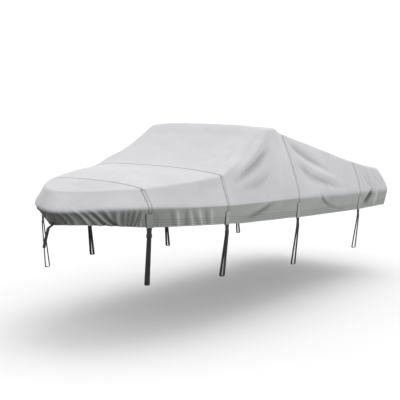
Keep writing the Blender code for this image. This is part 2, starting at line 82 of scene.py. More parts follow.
# Lines of the cover. An inset is how far inside the half beam the shoulder or the hem runs, and
# bulge how far ahead of its edges the deck's middle lies.
LINES_COLUMNS = ("station", "gunwale", "inset", "shoulder", "crown", "bulge", "hem", "hem_inset")
LINES = np.array((
    (0.00, 1.562, 0.110, 1.781, 1.790, 0.00, 1.393, 0.62),
    (0.15, 1.588, 0.140, 1.797, 1.812, 0.00, 1.398, 0.60),
    (0.30, 1.604, 0.165, 1.809, 1.832, 0.03, 1.396, 0.47),
    (0.50, 1.610, 0.185, 1.821, 1.868, 0.09, 1.390, 0.17),
    (0.70, 1.612, 0.156, 1.828, 1.900, 0.15, 1.381, 0.020),
    (1.25, 1.595, 0.135, 1.880, 1.972, 0.17, 1.360, 0.028),
    (1.89, 1.570, 0.130, 1.940, 2.022, 0.20, 1.327, 0.025),
    (2.16, 1.560, 0.140, 2.040, 2.085, 0.20, 1.306, 0.025),
    (2.56, 1.550, 0.170, 2.194, 2.238, 0.20, 1.287, 0.022),
    (2.86, 1.540, 0.195, 2.352, 2.404, 0.20, 1.274, 0.022),
    (3.14, 1.535, 0.225, 2.515, 2.565, 0.20, 1.260, 0.022),
    (3.37, 1.530, 0.265, 2.518, 2.555, 0.18, 1.251, 0.022),
    (3.71, 1.520, 0.340, 2.436, 2.450, 0.08, 1.230, 0.022),
    (4.71, 1.487, 0.260, 2.202, 2.218, 0.00, 1.192, 0.028),
    (5.80, 1.445, 0.175, 1.944, 1.962, 0.00, 1.156, 0.035),
    (6.47, 1.425, 0.160, 1.836, 1.854, 0.00, 1.147, 0.040),
    (7.05, 1.412, 0.160, 1.785, 1.805, 0.00, 1.140, 0.045),
))
# Each ring's inset, how strongly that shrinks with the beam, how far aft of the stem head the ring
# starts and ahead of the stern it ends, and the radius of its stern corners.
RINGS = {
    "shoulder": {"inset": "inset", "fade": 0.5, "bow": 0.15, "stern": 0.20, "corner": 0.10},
    "gunwale": {"inset": None, "fade": 0.0, "bow": 0.00, "stern": 0.00, "corner": 0.16},
    "hem": {"inset": "hem_inset", "fade": 1.0, "bow": 0.03, "stern": 0.05, "corner": 0.14},
}
CAMBER = 2.8  # power of the deck's curve across
CROWN_FULL_HALF = 0.4  # the crown has its full rise once the deck is this wide each way
SIDE_ROUND = 1.3  # 1 would make the side straight from shoulder to gunwale, and so below
SKIRT_ROUND = 1.15
RUN_STEPS = 4000  # chords that measure a run along the gunwale
SIGHT = 0.004  # half the chord that gives a direction on the cloth
NO_LENGTH = 1e-9
LEAST_REACH = 1e-6

# Long folds of the sides, as paths in side view; depth is outwards, so a trough is negative.
FOLDS_COLUMNS = (
    "station", "height", "via_station", "via_height", "to_station", "to_height", "width", "depth",
)
FOLDS = (
    (3.10, 2.285, 2.70, 2.045, 1.98, 1.77, 0.058, -0.027),
    (3.10, 2.46, 2.72, 2.20, 2.04, 1.90, 0.055, 0.017),
    (3.04, 1.95, 2.62, 1.77, 2.16, 1.74, 0.060, -0.012),
    (3.22, 2.40, 3.24, 2.00, 3.10, 1.60, 0.100, 0.008),
    (3.74, 2.33, 4.12, 2.12, 4.90, 1.80, 0.055, -0.024),
    (3.86, 2.11, 4.36, 1.84, 5.30, 1.66, 0.060, 0.014),
    (3.80, 2.03, 4.20, 1.76, 5.24, 1.55, 0.055, -0.024),
    (4.36, 1.55, 4.50, 1.40, 4.74, 1.28, 0.045, -0.007),
    (6.22, 1.86, 6.20, 1.60, 6.20, 1.44, 0.055, -0.014),
    (6.32, 1.50, 6.20, 1.34, 6.04, 1.18, 0.055, -0.020),
    (6.45, 1.48, 6.42, 1.30, 6.38, 1.12, 0.055, 0.012),
    (3.06, 1.49, 2.69, 1.42, 2.20, 1.36, 0.045, -0.009),
)

FOLD_TAPER = 0.8  # share of each of a fold's two stretches over which it grows from nothing

# Sharp creases, on curves laid out by row (as a station) and by distance below the shoulder,
# which is negative on the deck; depth is outwards. They fade out towards both ends.
CREASES_COLUMNS = ("from", "via", "to", "width", "depth")
CREASES = (
    ((3.06, 0.23), (2.84, 0.235), (1.98, 0.17), 0.028, -0.027),
    ((3.10, 0.03), (2.80, 0.06), (1.96, 0.10), 0.040, 0.022),
    ((2.98, -0.10), (2.66, -0.05), (2.10, 0.02), 0.034, -0.009),
    ((2.88, -0.24), (2.44, -0.16), (1.98, -0.01), 0.050, 0.009),
    ((2.80, -0.27), (2.46, -0.21), (2.10, -0.13), 0.040, -0.006),
    ((3.06, 0.44), (2.66, 0.33), (1.98, 0.24), 0.050, 0.014),
    ((3.06, 0.50), (2.84, 0.62), (2.02, 0.26), 0.040, -0.012),
    ((3.02, 0.66), (2.78, 0.74), (2.40, 0.60), 0.060, 0.005),
    ((3.02, 0.86), (2.76, 0.82), (2.20, 0.66), 0.028, 0.006),
    ((3.08, 0.96), (2.74, 0.89), (2.12, 0.72), 0.020, -0.011),
    ((1.36, 0.10), (1.58, 0.09), (1.86, 0.11), 0.050, -0.006),
    ((3.80, 0.11), (4.08, 0.27), (5.00, 0.39), 0.026, -0.012),
    ((3.80, 0.02), (4.08, 0.11), (4.80, 0.21), 0.045, 0.007),
    ((4.24, 0.16), (4.44, 0.19), (4.70, 0.21), 0.030, -0.004),
    ((3.82, 0.31), (4.22, 0.52), (5.50, 0.45), 0.045, 0.010),
    ((3.86, 0.43), (4.18, 0.65), (5.40, 0.57), 0.026, -0.011),
    ((4.36, 0.74), (4.44, 0.84), (4.70, 0.89), 0.022, 0.009),
    ((4.36, 0.82), (4.48, 0.98), (4.98, 0.91), 0.024, -0.012),
    ((4.54, 0.97), (4.90, 0.93), (5.40, 0.89), 0.020, -0.008),
    ((6.03, 0.13), (6.07, 0.31), (6.24, 0.43), 0.020, -0.011),
    ((6.32, 0.38), (6.22, 0.57), (5.88, 0.76), 0.034, -0.034),
    ((6.44, 0.42), (6.42, 0.57), (6.34, 0.74), 0.040, 0.006),
    ((5.96, 0.23), (5.97, 0.37), (5.98, 0.52), 0.045, 0.006),
    ((6.64, 0.04), (6.74, 0.22), (6.92, 0.38), 0.018, -0.005),
    ((6.56, 0.06), (6.64, 0.24), (6.82, 0.40), 0.018, 0.004),
    ((6.74, 0.08), (6.84, 0.24), (6.98, 0.36), 0.018, 0.004),
    ((6.46, 0.08), (6.55, 0.26), (6.72, 0.40), 0.020, -0.005),
    ((6.62, 0.44), (6.62, 0.57), (6.60, 0.72), 0.022, -0.009),
    ((6.76, 0.44), (6.77, 0.57), (6.78, 0.72), 0.020, -0.008),
    ((6.89, 0.44), (6.90, 0.57), (6.92, 0.72), 0.020, -0.007),
)
CREASE_STEPS = 9
CREASE_TAPER = 0.40  # share of a crease's length over which it fades
CREASE_POWER = 1.7  # under 2 the trough is sharper than a round one
CREASE_CLEAR = 0.1  # a crease further than this from a panel leaves it alone

# Gathers of the skirt, from the gunwale to the hem. Run is the distance from the stem along the
# gunwale, lean how much further aft the foot is, over how far the fold climbs the side.
GATHERS_COLUMNS = ("run", "lean", "width", "depth", "over")
GATHERS = (
    (0.04, 0.27, 0.030, -0.014, 0.10),
    (0.14, 0.28, 0.028, -0.016, 0.10),
    (0.27, 0.35, 0.030, -0.020, 0.08),
    (0.33, 0.33, 0.024, 0.018, 0.70),
    (0.37, 0.36, 0.024, -0.018, 0.05),
    (0.42, 0.36, 0.022, 0.012, 0.05),
    (0.48, 0.35, 0.030, -0.024, 0.20),
    (0.53, 0.35, 0.024, 0.014, 0.35),
    (0.62, 0.29, 0.030, -0.024, 0.12),
    (0.67, 0.27, 0.030, 0.012, 0.20),
    (0.77, 0.14, 0.024, -0.014, 0.05),
    (0.82, 0.10, 0.022, 0.010, 0.05),
    (0.88, 0.08, 0.022, -0.014, 0.05),
    (0.95, 0.05, 0.020, -0.013, 0.05),
    (1.02, 0.01, 0.022, -0.015, 0.08),
    (1.10, -0.04, 0.022, -0.013, 0.08),
    (1.48, 0.07, 0.040, -0.010, 0.02),
    (1.70, 0.04, 0.040, -0.012, 0.02),
    (1.80, 0.12, 0.036, -0.009, 0.05),
    (2.02, 0.06, 0.040, -0.011, 0.05),
)
# The small ones between them, which only the fine cloth has.
FINE_GATHERS = (
    (0.09, 0.28, 0.016, 0.010, 0.05),
    (0.19, 0.31, 0.018, 0.009, 0.05),
    (0.23, 0.33, 0.016, -0.008, 0.05),
    (0.57, 0.32, 0.016, -0.007, 0.05),
    (0.72, 0.20, 0.018, -0.009, 0.05),
    (0.915, 0.06, 0.013, 0.008, 0.05),
    (0.985, 0.02, 0.013, 0.008, 0.05),
    (1.055, -0.01, 0.014, 0.010, 0.05),
    (1.135, -0.03, 0.014, 0.008, 0.05),
    (1.28, 0.03, 0.018, -0.006, 0.02),
    (1.56, 0.05, 0.026, 0.008, 0.02),
    (1.75, 0.08, 0.020, 0.007, 0.02),
    (1.90, 0.07, 0.024, 0.008, 0.02),
    (2.10, 0.05, 0.028, 0.006, 0.02),
)
GATHER_CLIMB = 0.6  # a gather stops leaning this far up the side
GATHER_FADE = 0.4  # and reaches its full depth this far below the gunwale
STARBOARD_SHIFT = 0.035  # its folds lie this much further aft
STARBOARD_DEPTH = 0.85  # and are less deep
STEM_CALM = 0.08  # gathers fade towards the stem over this run
SHOULDER_CALM = (-1.02, -0.82)  # and all folds towards the shoulder, between these drops

# ---------------------------------------------------------------- fine shape of the cloth
# Reach of the rounding on each side of the shoulder: (station, reach).
SHOULDER_ROUNDS = (
    (0.0, 0.030), (1.8, 0.030), (2.2, 0.036), (2.6, 0.045), (2.95, 0.045), (3.2, 0.045),
    (4.0, 0.035), (4.8, 0.055), (6.2, 0.060), (7.05, 0.060),
)
GUNWALE_ROUNDS = ((0.0, 0.055), (1.2, 0.050), (2.2, 0.022), (3.6, 0.022), (4.6, 0.045), (7.05, 0.035))
SIDE_HOLLOW = 0.016  # the foredeck's sides are this hollow between shoulder and gunwale
HOLLOW_ENDS = 2.4  # they are flat aft of this station
HOLLOW_FADE = (0.3, 0.6)  # and reach it over these lengths, from the stem and from that end
ROUND_FULL_HALF = 0.35  # the shoulder's rounding is narrower where the bow is
SKIRT_CLOSE = 1.5  # above 1 the skirt's columns close up towards the hem
RELAX_BOW = 0.16  # ahead of this and aft of the next the shoulder is smoothed as a whole
RELAX_STERN = 6.25
RELAX_FADE = 0.15
RELAX_REACH = 0.10
RELAX_SHARE = 1.4  # over 1, so the smoothing is whole near the shoulder
RELAX_STEP = 0.5
RELAX_ROUNDS = 16
TRANSOM_BLEND = 0.15  # the deck's last rows bend onto the transom over this length
TRANSOM_RUN = 9.0  # the transom's run from the stem for the tones: past all of the side's

UNDULATION = 0.0025  # soft unevenness of hanging cloth
UNDULATION_WAVE = 0.45
UNDULATION_SEED = 7
WAVES = 14  # waves laid over each other, and the spread of their lengths
WAVE_SPREAD = (0.6, 1.8)
PUCKER_PITCH = 0.040  # small gathers along the drawn hem
PUCKER_DEPTH = 0.0032
PUCKER_HEIGHT = 0.050  # they fade out this far above the hem
PUCKER_SWAY = 1.6  # how unevenly they follow each other, over about the next length
PUCKER_WAVE = 0.30
PUCKER_LEAN = 0.1  # how little that changes up the cloth
PUCKER_UNEVEN = 0.3  # share of their depth that varies
PUCKER_SEED = 11
PUCKER_AFT = 0.25  # share of their depth that is left aft of the bow
PUCKER_ENDS = (0.6, 1.1)  # stations between which they fade to it
# Puckers also count in the painted shade and highlight of the cloth's folds, this many times their
# depth.
PUCKER_TONE = 4.5  # how much more than their depth they count in the cloth's shading
HEM_BEAD = 0.0025  # the cord in the hem's edge
HEM_BEAD_HEIGHT = 0.009
HEM_ROWS = (0.028, 0.058, 0.088)  # rows of stitches above the hem
STITCH_SINK = 0.0009
STITCH_SINK_WIDTH = 0.004
SEAM_SINK = 0.0030  # the V between two panels, across the deck
SEAM_SINK_WIDTH = 0.0055
SEAM_PAD = 0.0010  # the folded edges beside it lift the cloth, out to this width
SEAM_PAD_WIDTH = 0.017
SEAM_PAD_EASE = 0.005
SEAM_PAD_ENDS = 0.06  # share of the half deck over which that fades at the shoulder
SEAM_ROWS = (0.007, 0.015)  # rows of stitches on each side of a seam
SEAM_STEPS = (0.034, 0.025, 0.019, 0.015, 0.011, 0.007, 0.0045, 0.002, GAP / 2)

# Each panel's rows of faces, how they close up forward, and its columns over half the deck, down
# the side and down the skirt.
PANELS = {
    "panel_bow": (200, 1.8, 30, 20, 34),
    "panel_foredeck": (96, 1.0, 50, 26, 28),
    "panel_windscreen": (124, 1.0, 60, 60, 24),
    "panel_cockpit": (128, 1.0, 56, 56, 24),
    "panel_stern": (84, 1.0, 50, 34, 24),
}

# ---------------------------------------------------------------- fittings
STRIP_HALF = 0.021
STRIP_THICKNESS = 0.0015
SIDE_FIRST = 0.18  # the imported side's first row of points, as a share from shoulder to gunwale
STRIP_TOP = 0.25  # share of that first step, so the strip starts under the shoulder
LAND_COLUMNS = (30, 60, 50)  # columns of the fine paths that the tapes follow
LAND_PAST_HEM = 0.05  # and how far they run on, for a tab's foot
TAB_HALF = 0.046
TAB_THICKNESS = 0.003
TAB_TOP = 0.07  # under the gunwale, where the strip ends and the tab starts
TAB_BELOW_HEM = 0.010
TAB_SLANT = 0.018  # how much narrower a tab is at its foot, along its forward edge
# Webbing showing ahead of that edge at each seam, at the tab's top and foot; the dark strip also stands
# in for the shadow in the gap where the tab stands off the skirt.
PEEKS = ((0.009, 0.005), (0.005, 0.024), (0.005, 0.024), (0.005, 0.024))
PEEK_START = 0.006  # it starts this far below the tab's top
PEEK_PAST = 0.002  # and ends this far below its foot
PEEK_FACES = (4, 24)
TAPE_FACES = (6, 44)  # across and down
TAB_FACES = (24, 30)
TAB_CORNER = 0.010
TAPE_STITCH_IN = 0.0045  # rows of stitches from a tape's edges, and from its ends
TAPE_STITCH_END = 0.004
TAPE_STITCH_STEPS = 60
TAB_STITCH_IN = (0.006, 0.012)
TAB_STITCH_STEP = 0.01
BUCKLE_THICKNESS = 0.018
BUCKLE_LENGTH = 0.112
BAR_TOP = 0.105  # the bar that the webbing goes round starts this far below the top edge
WINDOW_TOP = 0.1005  # and the slot above it this far
WINDOW_HALF = 0.028
# Half outline of the buckle, as (half width, height from its top edge).
BUCKLE_HALF = (
    (0.0275, 0.000), (0.0310, -0.0015), (0.0320, -0.005), (0.0320, -0.022), (0.0305, -0.027),
    (0.0295, -0.032), (0.0290, -0.040), (0.0288, -0.050), (0.0292, -0.060), (0.0310, -0.066),
    (0.0330, -0.071), (0.0350, -0.077), (0.0350, -0.107), (0.0340, -0.1105), (0.0310, -0.112),
)
BUCKLE_EDGE = 0.0015  # rounding of its edges
BUCKLE_WALL = 0.0066  # half thickness of the moulding under its raised faces
# The raised faces: width, height, middle from the top edge, and corner radius.
BUCKLE_PLATES = (
    (0.054, 0.021, -0.0135, 0.003),
    (0.036, 0.030, -0.0470, 0.004),
    (0.060, 0.018, -0.0830, 0.003),
)
GRIP_RIBS = 5
GRIP_RIB = (0.0588, 0.0022)  # its width and height
GRIP_RIB_START = -0.040
GRIP_RIB_STEP = -0.005
GRIP_RIB_SINK = 0.0022  # under the raised faces
GRIP_RIB_ROUND = (0.0010, 0.0006)  # of its corners and its edges
WEBBING = 0.0022
WEBBING_HALF = 0.025
WEBBING_STEP = 0.03  # its long straight stretches are cut into pieces this long
# Its section: places across as shares of half its width, and thickness there.
WEBBING_ACROSS = (-1.0, -0.94, -0.8, -0.4, 0.0, 0.4, 0.8, 0.94, 1.0)
WEBBING_THICK = (0.35, 0.8, 1.0, 0.96, 0.96, 0.96, 1.0, 0.8, 0.35)
LOOP_WIDTH = 0.055
LOOP_CORNER = 0.014
LOOP_STRAIGHT = 0.002  # the webbing runs straight this far past the buckle
LOOP_STEPS = 6  # faces round each bend
# Each loop's foot above the road, and how far inboard of its buckle that foot starts.
LOOPS = ((0.675, 0.030), (0.640, 0.038), (0.530, 0.030), (0.500, 0.030))
BOW_STRAP_HALF = 0.025
# It is sewn to the bow between two heights, and hangs free along points (station, height).
BOW_STRAP_SEWN = (1.432, 1.400)
BOW_STRAP_FREE = ((-0.046, 1.366), (-0.085, 1.253), (-0.118, 1.140))
SIDES = (("port", 1), ("stbd", -1))

# ---------------------------------------------------------------- stage
# The camera, in the frame's own metres and in degrees.
CAMERA_PLACE = (6.83, -9.44, 0.237)
CAMERA_AZIMUTH = 35.81
CAMERA_PITCH = 6.63  # looking down
CAMERA_ROLL = 1.02
CAMERA_LENS = 72.0
CAMERA_SENSOR = 36.0
CAMERA_REACH = 300.0
ROAD = -(CREST_HEIGHT - CLOTH)  # height of the floor in the frame
BACKDROP_STRENGTH = 1.15
SUN_FROM = (-0.10, 0.45, 1.0)
SUN_WIDTH = 50.0  # degrees, so that its shadows are soft
SUN_STRENGTH = 1.15


# ---------------------------------------------------------------- the cover's surface
def line(name, stations):
    """One column of LINES at many stations, on a smooth curve that doesn't overshoot the table."""
    knots, values = LINES[:, 0], LINES[:, LINES_COLUMNS.index(name)]
    steps = np.diff(values) / np.diff(knots)
    slopes = np.concatenate([steps[:1], np.zeros(len(steps) - 1), steps[-1:]])
    rising = steps[:-1] * steps[1:] > 0
    total = np.where(rising, steps[:-1] + steps[1:], 1.0)
    slopes[1:-1] = np.where(rising, 2 * steps[:-1] * steps[1:] / total, 0.0)
    at = np.clip(np.asarray(stations, float), knots[0], knots[-1])
    i = np.clip(np.searchsorted(knots, at, side="right") - 1, 0, len(knots) - 2)
    width = knots[i + 1] - knots[i]
    t = (at - knots[i]) / width
    start, end = values[i], values[i + 1]
    bend = slopes[i] * t * (1 - t) ** 2 + slopes[i + 1] * t * t * (t - 1)
    return (1 + 2 * t) * (1 - t) ** 2 * start + t * t * (3 - 2 * t) * end + width * bend


def smooth(share):
    share = np.clip(share, 0.0, 1.0)
    return share * share * (3 - 2 * share)


def bell(away):
    return np.exp(-(away**2))


def ring_half(ring, rows):
    t = np.clip(rows / FULL_BEAM_STATION, 0.0, 1.0)
    half = HALF_BEAM * (1 - (1 - t) ** BOW_POWER) ** BOW_ROUND
    sizes = RINGS[ring]
    inset = line(sizes["inset"], rows) if sizes["inset"] else 0.0
    return half - inset * (half / HALF_BEAM) ** sizes["fade"]


def ring_side(ring, rows):
    """(half breadths, stations) of a ring where rows of the side meet it."""
    rows = np.asarray(rows, float)
    sizes = RINGS[ring]
    half = ring_half(ring, rows)
    station = rows + sizes["bow"] * np.clip(1 - rows / SEAMS[0], 0.0, None) ** BOW_LEAD_POWER
    radius = sizes["corner"]
    corner = LENGTH - sizes["stern"] - radius
    straight = corner - CORNER_START
    run = (rows - CORNER_START) / (LENGTH - CORNER_START) * (straight + radius * math.pi / 4)
    turn = np.clip(run - straight, 0.0, None) / radius
    aft = np.where(run > straight, corner + radius * np.sin(turn), CORNER_START + run)
    station = np.where(rows > CORNER_START, aft, station)
    return half - radius * (1 - np.cos(turn)), station


def ring_transom(ring, shares):
    """(half breadths, stations) of a ring across the transom, from its corner (1) to the middle."""
    sizes = RINGS[ring]
    radius = sizes["corner"]
    flat = float(ring_half(ring, LENGTH)) - radius
    arc = radius * math.pi / 4
    run = (1 - np.asarray(shares, float)) * (arc + flat)
    turn = math.pi / 4 + np.minimum(run, arc) / radius
    centre = LENGTH - sizes["stern"] - radius
    x = flat + radius * np.cos(turn) - np.clip(run - arc, 0.0, None)
    return x, centre + radius * np.sin(turn)


def between(first, first_height, second, second_height, shares, ease):
    """Points of the band between two rings, one row of points for each place on the rings."""
    shares = np.asarray(shares)[None, :]
    points = [a[:, None] + (b - a)[:, None] * ease(shares) for a, b in zip(first, second)]
    points.append(first_height[:, None] + (second_height - first_height)[:, None] * shares)
    return np.stack(points, -1)


def side_ease(share):
    return 1 - (1 - share) ** SIDE_ROUND


def skirt_ease(share):
    return share**SKIRT_ROUND


def band(find, rows, sides, skirts):
    """The port side from just under the shoulder to the hem; find places a ring."""
    shoulder, gunwale, hem = (find(ring) for ring in ("shoulder", "gunwale", "hem"))
    heights = [line(name, rows) for name in ("shoulder", "gunwale", "hem")]
    side = between(shoulder, heights[0], gunwale, heights[1], sides, side_ease)
    skirt = between(gunwale, heights[1], hem, heights[2], skirts, skirt_ease)
    return np.concatenate([side, skirt], axis=1)


def deck(rows, shares):
    """The top from the middle to the port shoulder."""
    half, station = ring_side("shoulder", rows)
    low, high, bulge = (line(name, rows) for name in ("shoulder", "crown", "bulge"))
    rise = (high - low) * np.minimum(1.0, half / CROWN_FULL_HALF)
    x = half[:, None] * shares
    y = station[:, None] - bulge[:, None] * (1 - shares**2)
    z = low[:, None] + rise[:, None] * (1 - shares**CAMBER)
    end_x, end_y = ring_transom("shoulder", shares)
    last_half, last_station = ring_side("shoulder", LENGTH)
    blend = smooth((rows - LENGTH + TRANSOM_BLEND) / TRANSOM_BLEND)[:, None]
    x = x + (end_x - last_half * shares) * blend
    y = y + (end_y - last_station) * blend
    return np.stack([x, y, z], -1)


def unit(vectors):
    length = np.linalg.norm(vectors, axis=-1, keepdims=True)
    return vectors / np.where(length > NO_LENGTH, length, 1.0)


def arc_length(points):
    """Distance along each row of points."""
    steps = np.linalg.norm(np.diff(points, axis=1), axis=-1)
    return np.concatenate([np.zeros((len(points), 1)), np.cumsum(steps, axis=1)], axis=1)


def rounded(points, crease, reach):
    """Rounds each row of points at one of its columns; reach is one length for each row."""
    before = unit(points[:, crease] - points[:, crease - 1])
    after = unit(points[:, crease + 1] - points[:, crease])
    length = arc_length(points)
    away = np.abs(length - length[:, crease : crease + 1])
    reach = np.maximum(reach, LEAST_REACH)[:, None]
    share = np.clip(reach - away, 0.0, None) ** 2 / (4 * reach)
    return points + (after - before)[:, None, :] * share[..., None]


# ---------------------------------------------------------------- folds
def gunwale_runs(rows):
    """Distance along the gunwale from the stem."""
    stations = LENGTH * np.linspace(0, 1, RUN_STEPS) ** 2
    x, y = ring_side("gunwale", stations)
    runs = np.concatenate([[0.0], np.cumsum(np.hypot(np.diff(x), np.diff(y)))])
    return np.interp(rows, stations, runs)


def outward(rows):
    """Unit vectors in plan, square to the gunwale on the port side."""
    x0, y0 = ring_side("gunwale", np.maximum(rows - SIGHT, 0.0))
    x1, y1 = ring_side("gunwale", np.minimum(rows + SIGHT, LENGTH))
    return unit(np.stack([y1 - y0, x0 - x1, np.zeros_like(x0)], -1))


def free_of_seams(rows):
    nearest = np.min([np.abs(rows - seam) for seam in SEAMS], axis=0)
    return smooth((nearest - SEAM_LAND) / (SEAM_FADE - SEAM_LAND))


def distance(points, a, b):
    """From many places to the line between a and b, in a plane, and how far along it that is."""
    a, b = np.array(a), np.array(b)
    along = b - a
    share = np.clip(((points - a) @ along) / (along @ along), 0.0, 1.0)
    return np.linalg.norm(points - a - share[..., None] * along, axis=-1), share


def fold_depth(stations, heights):
    """What the long folds add outwards at places in side view."""
    here = np.stack([stations, heights], -1)
    total = np.zeros(here.shape[:-1])
    for fold in FOLDS:
        row = dict(zip(FOLDS_COLUMNS, fold))
        start = (row["station"], row["height"])
        via = (row["via_station"], row["via_height"])
        end = (row["to_station"], row["to_height"])
        (near, upper), (far, lower) = distance(here, start, via), distance(here, via, end)
        fade = smooth(np.where(near < far, upper, 1 - lower) / FOLD_TAPER)
        total += row["depth"] * fade * bell(np.minimum(near, far) / row["width"])
    return total


def gather_depth(runs, drops):
    """What the gathers add; a drop is 0 at the gunwale, 1 at the hem, -1 at the shoulder."""
    total = np.zeros(np.broadcast(runs, drops).shape)
    for gather in GATHERS + FINE_GATHERS:
        row = dict(zip(GATHERS_COLUMNS, gather))
        across = (runs - row["run"] - row["lean"] * np.maximum(drops, -GATHER_CLIMB)) / row["width"]
        grown = smooth((drops + row["over"]) / (row["over"] + GATHER_FADE))
        total += row["depth"] * grown * bell(across)
    return total


def relief(rows, stations, heights, drops, side):
    """What folds and gathers add outwards to the rows of one side."""
    calm_start, calm_end = SHOULDER_CALM
    shift, scale = (0.0, 1.0) if side > 0 else (STARBOARD_SHIFT, STARBOARD_DEPTH)
    runs = gunwale_runs(rows)[:, None]
    depth = fold_depth(stations - shift, heights)
    depth += gather_depth(runs - shift, drops[None, :]) * smooth(runs / STEM_CALM)
    grown = smooth((drops - calm_start) / (calm_end - calm_start))
    return depth * scale * free_of_seams(rows)[:, None] * grown


def crease_relief(rows, downs):
    """What the sharp creases add, at places given by row and by distance below the shoulder."""
    here = np.stack(np.broadcast_arrays(rows[:, None], downs), -1)
    total = np.zeros(downs.shape)
    share = np.linspace(0, 1, CREASE_STEPS)[:, None]
    for crease in CREASES:
        row = dict(zip(CREASES_COLUMNS, crease))
        start, via, end = (np.array(row[key]) for key in ("from", "via", "to"))
        path = (1 - share) ** 2 * start + 2 * share * (1 - share) * via + share**2 * end
        if path[:, 0].max() + CREASE_CLEAR < rows.min() or path[:, 0].min() - CREASE_CLEAR > rows.max():
            continue
        nearest, along = np.full(downs.shape, np.inf), np.zeros(downs.shape)
        for n, (a, b) in enumerate(zip(path, path[1:])):
            away, part = distance(here, a, b)
            closer = away < nearest
            nearest = np.where(closer, away, nearest)
            along = np.where(closer, (n + part) / (CREASE_STEPS - 1), along)
        fade = smooth(along / CREASE_TAPER) * smooth((1 - along) / CREASE_TAPER)
        total += row["depth"] * fade * np.exp(-((nearest / row["width"]) ** CREASE_POWER))
    return total


# ---------------------------------------------------------------- rows and columns
def side_shares(count):
    return np.linspace(0, 1, count + 1)[1:]


def skirt_shares(count):
    """Columns of the skirt, which close up towards the hem."""
    return 1 - (1 - np.linspace(0, 1, count + 1)[1:]) ** SKIRT_CLOSE


def half_section(rows, side, columns):
    """Rows of points from the deck's middle to the hem on one side, with its folds."""
    deck_count, side_count, skirt_count = columns
    sides, skirts = side_shares(side_count), skirt_shares(skirt_count)
    top = deck(rows, np.linspace(0, 1, deck_count + 1))
    plain = band(lambda ring: ring_side(ring, rows), rows, sides, skirts)
    points = np.concatenate([top, plain], axis=1)
    narrow = np.minimum(1.0, ring_half("shoulder", rows) / ROUND_FULL_HALF)
    points = rounded(points, deck_count, np.interp(rows, *zip(*SHOULDER_ROUNDS)) * narrow)
    points = rounded(points, deck_count + side_count, np.interp(rows, *zip(*GUNWALE_ROUNDS)))
    below = points[:, deck_count + 1 :]
    drops = np.concatenate([sides - 1, skirts])
    depth = relief(rows, below[..., 1], below[..., 2], drops, side)
    hollow = smooth((HOLLOW_ENDS - rows) / HOLLOW_FADE[1]) * smooth(rows / HOLLOW_FADE[0])
    depth -= SIDE_HOLLOW * hollow[:, None] * np.sin(math.pi * np.clip(drops + 1, 0, 1))
    points[:, deck_count + 1 :] = below + outward(rows)[:, None, :] * depth[..., None]
    points[..., 0] *= side
    return points


def whole_rows(rows, columns):
    """Rows of points from the starboard hem over the top to the port hem."""
    port, starboard = (half_section(rows, side, columns) for side in (1, -1))
    return np.concatenate([starboard[:, :0:-1], port], axis=1)


def grid_normals(points):
    along = np.gradient(points, axis=0)
    across = np.gradient(points, axis=1)
    return unit(np.cross(across, along))


def waves(along, across, wave, seed):
    """Soft random waves over a surface, about 1 high."""
    random = np.random.default_rng(seed)
    total = np.zeros(np.broadcast(along, across).shape)
    for _ in range(WAVES):
        turn, phase = random.uniform(0, math.pi), random.uniform(0, math.tau)
        pitch = wave * random.uniform(*WAVE_SPREAD)
        total += np.sin((along * math.cos(turn) + across * math.sin(turn)) * math.tau / pitch + phase)
    return total / math.sqrt(WAVES)


def relax_share(away):
    """How much the cloth is smoothed at this distance from a shoulder."""
    return np.clip(RELAX_SHARE * (1 - away / RELAX_REACH), 0, 1)


